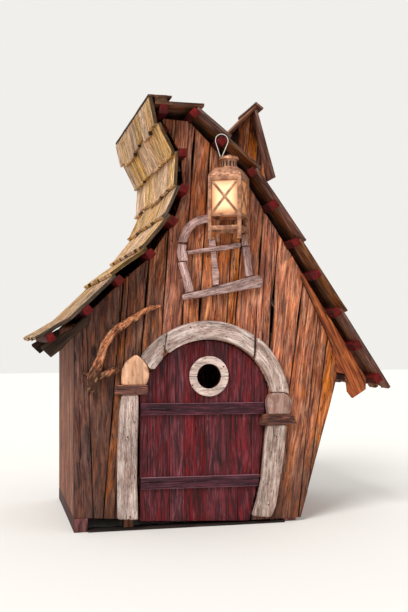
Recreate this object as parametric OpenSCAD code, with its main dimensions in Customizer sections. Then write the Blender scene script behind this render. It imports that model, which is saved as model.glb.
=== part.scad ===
// Crooked timber hut with a swooping shake roof, an arched plank door and a turret on its right slope.
// Millimetres. +Z is up, the front faces -Y, and the origin lies on the ground under the middle of the
// front wall, on its outer face.

/* [Hut] */
// Depth of the hut over its front and back wall boards
hut_depth = 1500; // [1250:10:1800]
// Reach of the front wall to the left of the middle
foot_left = 945; // [900:5:990]
// Reach of the right wall's foot to the right of the middle
foot_right = 937; // [900:5:980]
// Lean of the right wall away from upright, in degrees
right_lean = 15.5; // [13:0.5:17]
// Thickness of the wall boards
wall_t = 30; // [24:1:36]
// Height of the wall boards' lower ends at the left corner
foot_gap_left = 116; // [112:1:125]
// Height of the wall boards' lower ends at the right corner
foot_gap_right = 30; // [22:1:40]
// Side of the square corner posts and door posts
post_size = 80; // [60:1:95]
// Clearance between pieces that are seated on each other
seat = 0.3; // [0.1:0.1:1]

/* [Roof line] */
// Reach of the left eave to the left of the middle
eave_x = 1275; // [1230:5:1300]
// Height of the left eave
eave_z = 1498; // [1480:1:1515]
// Pitch of each left course from the eave up to the crown, in degrees
left_pitch = [30.6, 43.9, 41.2, 55.9, 72.7, 93.1, 122.6, 109.7]; // [25:0.1:130]
// Length of each left course from the eave up to the crown
left_length = [342, 488, 328, 328, 248, 275, 267, 145]; // [130:1:520]
// Pitch of each right course from the crown down to the eave, in degrees
right_pitch = [-3.3, -43.3, -43.4, -56.2, -57.8, -56.5]; // [-65:0.1:-2]
// Length of each right course from the crown down to the eave
right_length = [340, 311, 354, 675, 670, 810]; // [280:1:850]
// Height by which the upper left boards stand above the crown
crown_rise = 62; // [40:1:70]

/* [Roof boards] */
// Thickness of a roof board
board_t = 28; // [22:1:32]
// Width that one roof board covers
board_w = 128; // [90:1:170]
// Width that one board of the courses near the crown covers
wide_board_w = 255; // [180:5:320]
// Gap between two neighbouring roof boards
board_gap = 1; // [0.5:0.5:4]
// Length of a course's lap over the course below it
lap = 60; // [40:1:80]
// Greatest shortfall of a board's lower end
ragged = 34; // [0:1:38]
// Greatest shortfall of a wide board's lower end
wide_ragged = 46; // [0:1:48]
// Overhang of the roof boards in front of the front wall
roof_front = 165; // [120:1:180]
// Overhang of the roof boards behind the back wall
roof_back = 150; // [100:1:180]

/* [Purlins] */
// Width of a purlin along the slope
purlin_w = 64; // [56:1:72]
// Height of a purlin square to the slope
purlin_h = 68; // [60:1:78]
// Distance of each left purlin from the left eave along the roof line
left_purlins = [140, 488, 825, 1152, 1462, 1726, 2000]; // [100:1:2050]
// Distance of each right purlin from the crown along the roof line
right_purlins = [75, 348, 654, 1008, 1325, 1683, 1993, 2353, 2683, 3015]; // [60:1:3060]
// Depth by which a purlin is let into the tops of the wall boards
purlin_notch = 8; // [5:1:15]
// Length by which a purlin stands out of the roof boards
purlin_out = 16; // [12:1:30]

/* [Door] */
// Reach of the door leaf to the left of the middle
leaf_left = 418; // [405:1:425]
// Right corner of the leaf's foot
leaf_foot_x = 498; // [485:1:510]
// Height of the leaf's foot at its left corner
leaf_foot_left = 64; // [50:1:70]
// Height of the leaf's foot at its right corner
leaf_foot_right = 24; // [22:1:35]
// Thickness of the leaf's boards
leaf_t = 30; // [24:1:34]
// Middle of the doorway's arch to the right of the hut's middle
arch_x = 140; // [130:1:150]
// Height of the arch's centre
arch_z = 985; // [960:1:1010]
// Inner radius of the arch
arch_r = 540; // [530:1:550]
// Width of the arch's pieces
arch_w = 148; // [130:1:160]
// Gap that shows between the arch frame and the leaf
reveal = 12; // [10:1:16]
// Gap that shows between the left post and the leaf
reveal_left = 20; // [15:1:25]
// Clearance between the leaf and the wall round it
leaf_gap = 9; // [7:1:12]
// Clearance between the leaf's face and the arch's back
face_gap = 6; // [5:0.5:8]
// Height of the two ledges across the leaf
ledge_h = 92; // [80:1:105]
// Thickness of the two ledges
ledge_t = 28; // [20:1:34]
// Clearance between a ledge's end and the posts
ledge_gap = 13; // [10:1:20]
// Height of the lower ledge's middle
ledge_low_z = 368; // [340:1:390]
// Height of the upper ledge's middle
ledge_high_z = 962; // [958:1:975]

/* [Porthole] */
// Middle of the porthole to the right of the hut's middle
port_x = 150; // [140:1:160]
// Height of the porthole's middle
port_z = 1221; // [1210:1:1230]
// Radius of the porthole's hole
port_r = 101; // [85:1:110]
// Outer radius of the porthole's ring
ring_r = 165; // [150:1:170]
// Thickness of the porthole's ring
ring_t = 22; // [15:1:30]

/* [Arch frame] */
// Thickness of the posts beside the door
jamb_t = 62; // [50:1:75]
// Thickness of the arch's pieces
arch_t = 72; // [60:1:85]
// Width of the posts beside the door
jamb_w = 158; // [145:1:170]
// Gap between two pieces of the arch
joint_gap = 2; // [0.5:0.5:4]

/* [Hinges] */
// Radius of a hinge pin
pin_r = 7; // [6:0.5:9]
// Radial running clearance of a hinge pin
pin_fit = 0.4; // [0.3:0.1:0.6]
// Wall of a hinge knuckle
knuckle_wall = 5; // [4:0.5:6]
// Height of a hinge knuckle and its strap
strap_h = 44; // [36:1:55]
// Thickness of a hinge strap
strap_t = 5; // [4:0.5:6]
// Length of a hinge strap
strap_l = 430; // [300:5:500]

/* [Window frame] */
// Thickness of the driftwood round the blind window
drift_t = 36; // [25:1:50]

/* [Lantern] */
// Middle of the lantern to the right of the hut's middle
lamp_x = 265; // [258:1:270]
// Distance of the lantern's middle in front of the front wall
lamp_out = 196; // [192:1:202]
// Turn of the lantern about its hanging loop, in degrees
lamp_turn = -31; // [-36:1:-26]
// Side of the lantern's square body
lamp_w = 268; // [255:1:272]
// Height of the top of the lantern's body above the ground
lamp_top = 2815; // [2800:1:2820]
// Height of the lantern's body
lamp_h = 430; // [420:1:440]
// Side of the lantern's corner bars
lamp_bar = 28; // [22:1:32]
// Length of the lantern's legs under its body
lamp_leg = 72; // [60:1:76]
// Thickness of the lantern's panes
pane_t = 3; // [2:0.5:4]

/* [Turret] */
// Turret's peak to the right of the hut's middle
turret_x = 692; // [680:1:700]
// Height of the turret's peak
turret_z = 3587; // [3570:1:3600]
// Distance of the turret's gable behind the front wall
turret_y = 600; // [560:1:640]
// Depth of the turret over its gables
turret_depth = 340; // [300:1:380]
// Thickness of the turret's boards
turret_t = 24; // [18:1:28]

/* [Hidden] */
$fn = 48;

// The roof line: one chain of straight courses from the left eave over the crown to the right eave
course_pitch = concat(left_pitch, right_pitch);
course_length = concat(left_length, right_length);
left_count = len(left_pitch);
course_count = len(course_pitch);
eave_start = [-eave_x, eave_z];
function heading(i) = [cos(course_pitch[i]), sin(course_pitch[i])];
function outward(i) = [-heading(i).y, heading(i).x];
function roof_point(i) = i == 0 ? eave_start : roof_point(i - 1) + course_length[i - 1] * heading(i - 1);
function unit(v) = v / norm(v);
function sum_to(list, i) = i <= 0 ? 0 : list[i - 1] + sum_to(list, i - 1);
crown = roof_point(left_count);

// A point of the roof line pushed in by depth at the corner before course i, mitred with its neighbour
function inner_point(i, depth) =
    i == 0 ? roof_point(0) - depth * outward(0)
    : i == course_count ? roof_point(i) - depth * outward(i - 1)
    : roof_point(i) - depth * (outward(i - 1) + outward(i)) / (1 + outward(i - 1) * outward(i));

// A point on course i, at a distance along it and at a depth under it
function on_course(i, along, depth) = roof_point(i) + along * heading(i) - depth * outward(i);

// Everything under the roof line pushed in by depth
module under_roof(depth) {
    polygon(concat(
        [for (i = [0:course_count]) inner_point(i, depth)],
        [[inner_point(course_count, depth).x, -10], [inner_point(0, depth).x, -10]]));
}

// A profile drawn in X and Z, drawn out along Y from y0 to y1
module along_y(y0, y1) {
    translate([0, y1, 0]) rotate([90, 0, 0]) linear_extrude(height = y1 - y0) children();
}

// Purlins: each is a course and a distance along it, held clear of the corners that it would cut
left_run = sum_to(course_length, left_count);
function course_of(run) = max([for (i = [0:course_count - 1]) if (sum_to(course_length, i) <= run) i]);
function station(run) =
    let (i = course_of(run), along = run - sum_to(course_length, i), half_w = purlin_w / 2)
    [i, i < left_count ? min(max(along, half_w + 6), course_length[i] - 6)
                       : min(max(along, 3), course_length[i] - half_w - 6)];
left_stations = [for (run = left_purlins) station(run)];
right_stations = [for (run = right_purlins) station(left_run + run)];
inner_station = [left_count - 2, 0.82 * course_length[left_count - 2]];

// How far the course's boards lie over a point, measured square to the roof line
function headroom(i, point) =
    let (out = face_of(i, slab_down(i))) (upper_end(i) - point) * out / (outward(i) * out);

// A purlin's end: it stands on the wall tops and reaches up to the boards that it carries
function purlin_corners(i, along, grow) =
    let (half_w = purlin_w / 2 + grow,
         a = on_course(i, along - half_w, purlin_h + grow),
         b = on_course(i, along + half_w, purlin_h + grow))
    [a, b, b + (headroom(i, b) - seat + grow) * outward(i), a + (headroom(i, a) - seat + grow) * outward(i)];

module purlin_ends(stations, grow) {
    for (at = stations) polygon(purlin_corners(at[0], at[1], grow));
}

module purlins(stations) {
    color("#6e1f22")
        along_y(-roof_front - purlin_out, hut_depth + roof_back + purlin_out) purlin_ends(stations, 0);
}

// One more left purlin ends in the walls, behind the boards that flare
module purlins_left() {
    purlins(left_stations);
    color("#6e1f22") along_y(0, hut_depth) purlin_ends([inner_station], 0);
}

module purlins_right() purlins(right_stations);
all_stations = concat(left_stations, [inner_station], right_stations);

// Walls. The right wall leans, so a place on it depends on the height
lean = tan(right_lean);
wall_side = wall_t / cos(right_lean);
function right_x(z) = foot_right + lean * z;
spare = 100;
wall_top = crown.y + spare;
wall_depth = purlin_h - purlin_notch;
wall_back = hut_depth - wall_t;
leaf_front = face_gap;
leaf_back = leaf_front + leaf_t;
jamb_inner = -leaf_left - reveal_left;
door_left = jamb_inner - 14;
leaf_r = arch_r - reveal;
hole_r = leaf_r + leaf_gap;
knee_z = 380;
leaf_side_x = arch_x + leaf_r - 32;
leaf_side_z = arch_z + 20;
knee_share = 0.58;
knee_x = leaf_foot_x + knee_share * (leaf_side_x - leaf_foot_x);
arc_start = 12;
leaf_turn = 143;
leaf_shoulder = arch_z + 0.387 * leaf_r;
gable_split = arch_x + hole_r + 10;

// The slanting line on which the wall boards end, and the square sill that fits under it at the left
foot_slope = (foot_gap_right - foot_gap_left) / (foot_left + leaf_foot_x);
function wall_foot(x) = foot_gap_left + foot_slope * min(x + foot_left, foot_left + leaf_foot_x);
sill_size = (foot_gap_left - seat) / (1 - foot_slope);

module wall_face() {
    difference() {
        intersection() {
            under_roof(wall_depth + seat);
            polygon([
                [-foot_left, wall_foot(-foot_left)], [leaf_foot_x, foot_gap_right],
                [right_x(foot_gap_right), foot_gap_right], [right_x(wall_top), wall_top],
                [-foot_left, wall_top]]);
        }
        purlin_ends(all_stations, seat);
    }
}

// The leaf's outline, grown by a clearance
module leaf_outline(grow) {
    r = leaf_r + grow;
    side = leaf_side_x + grow;
    polygon(concat(
        [[-leaf_left - grow, leaf_foot_left - grow], [leaf_foot_x + grow, leaf_foot_right - grow],
         [knee_x + grow, knee_z], [side, leaf_side_z]],
        [for (k = [0:24]) let (turn = arc_start + (leaf_turn - arc_start) * k / 24)
            [arch_x + r * cos(turn), arch_z + r * sin(turn)]],
        [[-leaf_left - grow, leaf_shoulder]]));
}

module doorway() {
    leaf_outline(leaf_gap);
    translate([-leaf_left - leaf_gap, -10])
        square([leaf_foot_x + leaf_left + 2 * leaf_gap, leaf_foot_right + 30]);
    translate([door_left, -10]) square([-leaf_left - door_left, leaf_shoulder + 10]);
}

module front_boards(x0, x1, z0, z1) {
    color("#9a5a3c") along_y(0, wall_t) intersection() {
        difference() {
            wall_face();
            doorway();
        }
        translate([x0, z0]) square([x1 - x0, z1 - z0]);
    }
}

module front_wall_left() front_boards(-foot_left - 1, door_left, 0, wall_top);
module front_wall_gable() front_boards(door_left + seat, gable_split, leaf_side_z + seat, wall_top);
module front_wall_jamb() front_boards(leaf_foot_x, gable_split, 0, leaf_side_z);
module front_wall_right() front_boards(gable_split + seat, right_x(wall_top), 0, wall_top);
module back_wall() color("#8a5038") along_y(wall_back, hut_depth) wall_face();

side_front = wall_t + seat;
side_back = wall_back - seat;
left_inner = -foot_left + wall_t;

module left_wall() {
    color("#a8602f") along_y(side_front, side_back) difference() {
        intersection() {
            under_roof(wall_depth + seat);
            translate([-foot_left, sill_size + seat]) square([wall_t, wall_top]);
        }
        purlin_ends(all_stations, seat);
    }
}

module right_strip(out, width, z0) {
    polygon([[right_x(z0) - out - width, z0], [right_x(z0) - out, z0],
             [right_x(wall_top) - out, wall_top], [right_x(wall_top) - out - width, wall_top]]);
}

module right_wall() {
    color("#8a5038") along_y(side_front, side_back) difference() {
        intersection() {
            under_roof(wall_depth + seat);
            right_strip(0, wall_side, foot_gap_right);
        }
        purlin_ends(right_stations, seat);
    }
}

// Frame on the ground and posts in the corners and beside the doorway
post_side = post_size / cos(right_lean);
sill_front = side_front;

module ground_sills() {
    color("#8a4a3a") {
        along_y(-seat, hut_depth) translate([-foot_left, 0]) square([sill_size, sill_size]);
        along_y(sill_front, side_back) polygon([
            [right_x(0) - wall_side - seat - sill_size, 0], [right_x(0) - wall_side - seat, 0],
            [right_x(sill_size) - wall_side - seat, sill_size],
            [right_x(0) - wall_side - seat - sill_size, sill_size]]);
        translate([-foot_left + sill_size + seat, side_back - sill_size, 0])
            cube([foot_left + right_x(0) - wall_side - 2 * sill_size - 3 * seat, sill_size, sill_size]);
    }
}

module corner_posts() {
    color("#7a4a34")
        for (y = [side_front, side_back - post_size]) along_y(y, y + post_size) {
            difference() {
                intersection() {
                    under_roof(wall_depth + seat);
                    union() {
                        translate([left_inner + seat, sill_size + seat]) square([post_size, wall_top]);
                        right_strip(wall_side + seat, post_side, sill_size + seat);
                    }
                }
                purlin_ends(all_stations, seat);
            }
        }
}

threshold_t = 15;
threshold_y0 = -22;
post_left_x = door_left - 14;
post_right_x = gable_split - 6;

module threshold() {
    color("#4a3628") translate([-foot_left + sill_size + seat, threshold_y0, 0])
        cube([foot_left - sill_size + right_x(0) - wall_side - sill_size - 3 * seat,
              wall_t + post_size - threshold_y0, threshold_t]);
}

door_post_h = 1560;

module door_posts() {
    color("#7a4a34") {
        translate([post_left_x - post_size, side_front, threshold_t + seat])
            cube([post_size, post_size, door_post_h]);
        translate([post_right_x, side_front, threshold_t + seat])
            cube([post_size, post_size, door_post_h]);
    }
}

// Brackets under the left eave, nailed on the faces of the front and back walls
module eave_brackets() {
    color("#5a3a26") for (y = [[-wall_t - seat, -seat], [hut_depth + seat, hut_depth + seat + wall_t]])
        along_y(y[0], y[1]) difference() {
            intersection() {
                under_roof(wall_depth + seat);
                polygon([
                    [-eave_x + 75, eave_z - 44], [-eave_x + 150, eave_z - 116], [-eave_x + 240, eave_z - 44],
                    [-eave_x + 275, eave_z + 2], [-foot_left + 105, eave_z + 142],
                    [-foot_left + 140, eave_z + 300], [-eave_x + 70, eave_z + 100]]);
            }
            purlin_ends(left_stations, seat);
        }
}

// Sawn plank under the right slope, nailed on the front wall, with a notch beside the wall
rake_l = 722;
rake_low = 264;

module rake_plank() {
    last = course_count - 1;
    rake_high = wall_depth + seat;
    color("#b5622e") along_y(-wall_t - seat, -seat) difference() {
        polygon([
            on_course(last - 1, 262, rake_high + 8), on_course(last, 0, rake_high),
            on_course(last, rake_l - 85, rake_high + 4), on_course(last, rake_l, rake_high + 62),
            on_course(last, rake_l - 4, rake_low), on_course(last, rake_l - 74, rake_low + 6),
            on_course(last, rake_l - 211, 0.77 * rake_low), on_course(last, rake_l - 270, rake_low - 2),
            on_course(last, rake_l - 383, 0.74 * rake_low), on_course(last, 200, 0.625 * rake_low),
            on_course(last - 1, 626, 0.5 * rake_low), on_course(last - 1, 284, 0.36 * rake_low)]);
        purlin_ends(right_stations, seat);
    }
}

// One course as a slab in X and Z. It runs from its upper end down to a corner, over the top of the course
// below, and from there along that course for a lap. Where the roof is hollow the boards bend at the corner.
// The left eave's boards bend where the roof line does. side is -1 on the left slope and 1 on the right one
function side_of(i) = i < left_count ? -1 : 1;
function lower_of(i) = i + side_of(i);
function is_foot(i) = i == 0 || i == course_count - 1;
function upper_end(i) =
    i == left_count - 1 ? crown + crown_rise * heading(i)
    : i == left_count ? crown + 2 * seat * heading(i)
    : i < left_count ? roof_point(i + 1) : roof_point(i);
function lap_start(i) = i < left_count ? roof_point(i + 1) : roof_point(i);
function lower_end(i) = i < left_count ? roof_point(i) : roof_point(i + 1);
function face_of(i, down) = side_of(i) * [-down.y, down.x];
function corner_of(i) = is_foot(i) || i == 1 ? lower_end(i)
    : lap_start(lower_of(i)) + (board_t + seat) * face_of(lower_of(i), slab_down(lower_of(i)));
function slab_down(i) = unit(corner_of(i) - upper_end(i));
function is_bent(i) = i == 1
    || (!is_foot(i) && slab_down(i) * face_of(lower_of(i), slab_down(lower_of(i))) < 0);
function lap_down(i) = is_bent(i) ? slab_down(lower_of(i)) : slab_down(i);
function lap_run(i) = is_foot(i) ? 0 : i == 1 ? course_length[0] : lap;
function lap_end(i) = corner_of(i) + lap_run(i) * lap_down(i);

// A number from 0 to 1, in sevenths, that looks random but never changes
function chance(a, b) =
    let (wave = abs(sin(a * 78.233 + b * 37.719 + 11)) * 437.585) floor(8 * (wave - floor(wave))) / 7;

module course_slab(i, short, grow) {
    top = upper_end(i);
    foot = lap_end(i) - short * lap_down(i);
    top_out = face_of(i, slab_down(i));
    foot_out = face_of(i, lap_down(i));
    deep = board_t + grow;
    bend = corner_of(i);
    mitre = deep * (top_out + foot_out) / (1 + top_out * foot_out);
    if (is_bent(i)) polygon([top, bend, foot, foot + deep * foot_out, bend + mitre, top + deep * top_out]);
    else polygon([top, foot, foot + deep * foot_out, top + deep * top_out]);
}

roof_span = roof_front + hut_depth + roof_back;
function is_wide(i) = i >= left_count - 3 && i <= left_count;
function boards_in(i) = round(roof_span / (is_wide(i) ? wide_board_w : board_w));

module course(i, shade) {
    pitch = roof_span / boards_in(i);
    color(shade) for (k = [0:boards_in(i) - 1])
        along_y(-roof_front + k * pitch + board_gap / 2, -roof_front + (k + 1) * pitch - board_gap / 2)
            course_slab(i, (is_wide(i) ? wide_ragged : ragged) * chance(k, i), 0);
}

left_shade = "#b9a878";
right_shade = "#6a4a34";
module roof_left_eave() course(1, left_shade);
module roof_left_swoop() for (i = [2:left_count - 4]) course(i, left_shade);
module roof_left_neck() course(left_count - 3, left_shade);
module roof_left_flare() course(left_count - 2, left_shade);
module roof_left_top() course(left_count - 1, left_shade);
module roof_right_crown() course(left_count, right_shade);
module roof_right_upper() for (i = [1:2]) course(left_count + i, right_shade);
module roof_right_middle() for (i = [3:4]) course(left_count + i, right_shade);
module roof_right_eave() course(course_count - 1, right_shade);

// Board that caps the crown, on the upper left boards and on a block that stands on the crown course
cap_t = 18;
cap_left = -52;
cap_right = 140;
block_w = 104;

module crown_cap() {
    cap_z = upper_end(left_count - 1).y + seat;
    run = slab_down(left_count);
    bed = upper_end(left_count) + (board_t + seat) * face_of(left_count, run);
    block_end = bed + block_w * run;
    color("#4a3628") along_y(-roof_front, hut_depth + roof_back) polygon([
        bed + 3 * run, block_end, [block_end.x, cap_z], [bed.x + cap_right, cap_z + 2],
        [bed.x + cap_right, cap_z + cap_t], [bed.x + cap_left, cap_z + cap_t],
        [bed.x + cap_left, cap_z], [bed.x + 3 * run.x, cap_z]]);
}

// Door leaf, its ledges and the ring round its porthole
module door_leaf() {
    color("#5a2028") along_y(leaf_front, leaf_back) difference() {
        leaf_outline(0);
        translate([port_x, port_z]) circle(r = port_r);
    }
}

// The leaf's right edge and the frame's inner edge beside it, at a height
function leaf_right(z) = z < knee_z
    ? leaf_foot_x + (knee_x - leaf_foot_x) * (z - leaf_foot_right) / (knee_z - leaf_foot_right)
    : knee_x + (leaf_side_x - knee_x) * (z - knee_z) / (leaf_side_z - knee_z);
function frame_right(z) = leaf_right(z) + reveal;
knob_left = arch_x + arch_r - 50;
ledge_fall = 7;

module ledge(z) {
    low = z - ledge_h / 2;
    high = z + ledge_h / 2;
    color("#5b1c2a") along_y(leaf_front - ledge_t - seat, leaf_front - seat)
        polygon([[-leaf_left, low],
                 [min(knob_left - ledge_gap, leaf_right(low) - 2), low - ledge_fall],
                 [min(knob_left - ledge_gap, leaf_right(high) - 2), high - ledge_fall], [-leaf_left, high]]);
}

module door_ledge_lower() ledge(ledge_low_z);
module door_ledge_upper() ledge(ledge_high_z);

module porthole_ring() {
    color("#dcd2c0") translate([port_x, leaf_front - seat, port_z]) rotate([90, 0, 0]) difference() {
        cylinder(r = ring_r, h = ring_t);
        translate([0, 0, -1]) cylinder(r = port_r, h = ring_t + 2);
        translate([-ring_r - 1, -joint_gap / 2, -1]) cube([2 * ring_r + 2, joint_gap, ring_t + 2]);
    }
}

// Hinges behind the leaf's left edge: straps with knuckles that turn on pins held by the left door post
knuckle_r = pin_r + pin_fit + knuckle_wall;
hinge_x = -leaf_left - 4;
hinge_y = leaf_back + seat + knuckle_r;
hinge_z = [ledge_low_z, ledge_high_z];
lug_h = 12;

module hinge_straps() {
    color("#2c2826") for (z = hinge_z) translate([hinge_x, 0, z]) difference() {
        union() {
            translate([0, leaf_back + seat, 0]) cube([strap_l, strap_t, strap_h]);
            translate([0, hinge_y, 0]) cylinder(r = knuckle_r, h = strap_h);
        }
        translate([0, hinge_y, -1]) cylinder(r = pin_r + pin_fit, h = strap_h + 2);
    }
}

module hinge_pins() {
    color("#2c2826") for (z = hinge_z) translate([hinge_x, hinge_y, z]) {
        translate([0, 0, -lug_h - seat]) cylinder(r = pin_r, h = strap_h + lug_h + 4);
        translate([0, 0, -lug_h - seat]) cylinder(r = knuckle_r, h = lug_h);
        translate([post_left_x + seat - hinge_x, -knuckle_r, -lug_h - seat])
            cube([hinge_x - post_left_x - seat, 2 * knuckle_r, lug_h]);
    }
}

// Arch frame of driftwood, nailed on the wall round the door
jamb_foot = 92;
jamb_top = 1084;
bar_left_h = 72;
bar_right_h = 82;
bar_left_z = jamb_top + joint_gap;
teardrop_z = bar_left_z + bar_left_h + joint_gap;
right_jamb_top = 818;
bar_right_z = right_jamb_top + joint_gap;
knob_z = bar_right_z + bar_right_h + joint_gap;
right_jamb_foot = 60;

module on_wall(thick) {
    along_y(-thick - seat, -seat) children();
}

module ring_piece(turn0, turn1) {
    steps = 2 * max(2, round((turn1 - turn0) / 8));
    turns = [for (k = [0:steps]) turn0 + (turn1 - turn0) * k / steps];
    polygon(concat(
        [for (t = turns) [arch_x + arch_r * cos(t), arch_z + arch_r * sin(t)]],
        [for (k = [0:steps]) let (t = turns[steps - k])
            [arch_x + (arch_r + arch_w) * cos(t), arch_z + (arch_r + arch_w) * sin(t)]]));
}

// The joints of the arch's pieces are cut nearly upright: their x from the arch's middle, low and high
joint_low = arch_z + 300;
joint_high = arch_z + 720;
crown_cut_left = [-390, -328];
crown_cut_right = [372, 388];
right_cut = [387, 416];
piece_gap = 3 * joint_gap;

module between_cuts(left, right) {
    polygon([[arch_x + left[0], joint_low], [arch_x + right[0], joint_low],
             [arch_x + right[1], joint_high], [arch_x + left[1], joint_high]]);
}

module arch_post_left() {
    outer = jamb_inner + 15 - jamb_w;
    color("#c9bdb4") on_wall(jamb_t) polygon([
        [outer - 24, jamb_foot + 6], [jamb_inner - 5, jamb_foot - 4], [jamb_inner - 15, 382],
        [jamb_inner - 9, 672], [jamb_inner, jamb_top], [outer + 9, jamb_top], [outer - 12, 908],
        [outer - 26, 619], [outer - 30, 388]]);
}

module arch_bar_left() {
    color("#8a6248") on_wall(jamb_t + 18)
        polygon([[jamb_inner - 199, bar_left_z], [jamb_inner + 76, bar_left_z],
                 [jamb_inner + 70, bar_left_z + bar_left_h], [jamb_inner - 175, bar_left_z + bar_left_h]]);
}

// The drop over the left bar, grown about its middle by a gap
drop_edge = [[-137, 0], [60, 0], [84, 58], [87, 93], [72, 152], [30, 204], [-22, 243],
             [-58, 217], [-104, 182], [-133, 119], [-139, 61]];
drop_mid = [-26, 110];
function drop_shape(gap) = [for (p = drop_edge)
    [jamb_inner, teardrop_z] + drop_mid + (1 + gap / 100) * (p - drop_mid)];

module arch_teardrop() color("#dcae78") on_wall(arch_t) polygon(drop_shape(0));

module arch_piece_left() {
    color("#c9bdb4") on_wall(arch_t) difference() {
        intersection() {
            ring_piece(112, 148);
            between_cuts([-900, -900], crown_cut_left - [piece_gap, piece_gap]);
        }
        polygon(drop_shape(joint_gap));
    }
}

module arch_crown() {
    color("#c9bdb4") on_wall(arch_t) intersection() {
        ring_piece(42, 128);
        between_cuts(crown_cut_left, crown_cut_right);
    }
}

// The knob over the right bar, grown about its middle by a gap
knob_edge = [[10, 0], [193, 0], [204, 24], [214, 70], [210, 112], [192, 150], [160, 172],
             [89, 180], [42, 174], [14, 155], [1, 120], [-1, 74]];
knob_mid = [105, 90];
function knob_shape(gap) = [for (p = knob_edge)
    [knob_left, knob_z] + knob_mid + (1 + gap / 85) * (p - knob_mid)];

module arch_knob_right() color("#b98a78") on_wall(arch_t + 6) polygon(knob_shape(0));

module arch_piece_right() {
    color("#c9bdb4") on_wall(arch_t) difference() {
        ring_piece(6, 62);
        between_cuts([-900, -900], right_cut);
        polygon(knob_shape(joint_gap));
        translate([0, knob_z - 300]) square([arch_x + 900, 300 + knob_edge[5].y]);
    }
}

module arch_bar_right() {
    bar_x = frame_right(bar_right_z) - 64;
    color("#8a6248") on_wall(jamb_t + 18)
        polygon([[bar_x, bar_right_z], [bar_x + 317, bar_right_z],
                 [bar_x + 286, bar_right_z + bar_right_h], [bar_x + 31, bar_right_z + bar_right_h]]);
}

module arch_post_right() {
    function outer(z, w) = [frame_right(z) + w, z];
    color("#c9bdb4") on_wall(jamb_t) polygon([
        [frame_right(right_jamb_foot) - 16, right_jamb_foot + 12], outer(right_jamb_foot - 6, 147),
        outer(143, 169), outer(258, 168), outer(431, 166), outer(604, 172), outer(right_jamb_top, 173),
        outer(right_jamb_top, 0), outer(knee_z, 0), outer(208, 0)]);
}

// Driftwood round the blind window, nailed on the gable boards
function bow(t) = [149 - 262 * sin(t), 2287 + 250 * cos(t)];
function bow_in(t) = [149 - 186 * sin(t), 2287 + 184 * cos(t)];

module window_arch() {
    color("#9a8078") on_wall(drift_t) polygon(concat(
        [for (k = [0:8]) bow(84 * k / 8)], [for (k = [0:8]) bow_in(84 * (8 - k) / 8)]));
}

module window_posts() {
    color("#9a8078") on_wall(drift_t) {
        polygon([[-31, 2158], [-46, 2252], [-38, 2288], [-114, 2296], [-122, 2226], [-108, 2152]]);
        polygon([[22, 1912], [-16, 2046], [-48, 2152], [-114, 2142], [-79, 2032], [-46, 1897]]);
        polygon([[421, 2291], [424, 2384], [454, 2387], [490, 2336], [490, 2293]]);
        polygon([[430, 2284], [440, 2166], [452, 2032], [518, 2050], [500, 2167], [489, 2287]]);
    }
}

module window_bars() {
    color("#8f7a72") on_wall(drift_t - 8) {
        polygon([[-28, 2208], [411, 2278], [412, 2320], [-38, 2240]]);
        polygon([[147, 2298], [148, 2346], [173, 2356], [199, 2348], [203, 2237], [226, 2075], [230, 1970],
                 [180, 1960], [173, 2099], [163, 2236]]);
    }
}

module window_sill() {
    color("#a08a80") on_wall(drift_t + 14)
        polygon([[-74, 1837], [68, 1862], [209, 1886], [390, 1917], [580, 1948], [598, 1990], [587, 2030],
                 [562, 2052], [390, 2007], [222, 1960], [68, 1917], [-81, 1880]]);
}

// Lantern of copper sheet, hung on a loop from the second right purlin
half = lamp_w / 2;
lamp_z = lamp_top - lamp_h;
skirt_h = 24;
glass_z = 132;
glass_top = lamp_h - 39;
tray_h = 28;

module at_lantern() {
    translate([lamp_x, -lamp_out, lamp_z]) rotate(lamp_turn) children();
}

module lantern_tray(z, h, grow) {
    translate([-half - grow, -half - grow, z]) cube([lamp_w + 2 * grow, lamp_w + 2 * grow, h]);
}

module lantern_band(z, h) {
    difference() {
        lantern_tray(z, h, 0);
        translate([-half + lamp_bar, -half + lamp_bar, z - 1])
            cube([lamp_w - 2 * lamp_bar, lamp_w - 2 * lamp_bar, h + 2]);
    }
}

module lantern_frame() {
    color("#9a6a48") at_lantern() {
        lantern_tray(tray_h, 5, 0);
        lantern_band(0, tray_h);
        lantern_band(glass_z - skirt_h, skirt_h);
        lantern_band(glass_top, lamp_h - glass_top);
        for (x = [-half, half - lamp_bar]) for (y = [-half, half - lamp_bar])
            translate([x, y, -lamp_leg]) cube([lamp_bar, lamp_bar, lamp_h + lamp_leg]);
    }
}

module lantern_glass() {
    pane_w = lamp_w - 2 * lamp_bar - 2 * seat;
    color("#f3d9a0") at_lantern() for (turn = [0:90:270]) rotate(turn)
        translate([-pane_w / 2, -half + lamp_bar / 2 - pane_t / 2, glass_z + seat])
            cube([pane_w, pane_t, glass_top - glass_z - 2 * seat]);
}

roof_rise = 66;
neck_r = 64;
neck_h = 70;
lid_r = 82;
lid_h = 24;
peak_h = 20;

module lantern_roof() {
    color("#8a5c3e") at_lantern() translate([0, 0, lamp_h + seat]) {
        linear_extrude(height = roof_rise, scale = 0.66) square(lamp_w + 6, center = true);
        translate([0, 0, roof_rise]) cylinder(r = neck_r, h = neck_h);
        translate([0, 0, roof_rise + neck_h]) cylinder(r1 = lid_r, r2 = lid_r - 8, h = lid_h);
        translate([0, 0, roof_rise + neck_h + lid_h]) cylinder(r1 = 42, r2 = 16, h = peak_h);
    }
}

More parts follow.
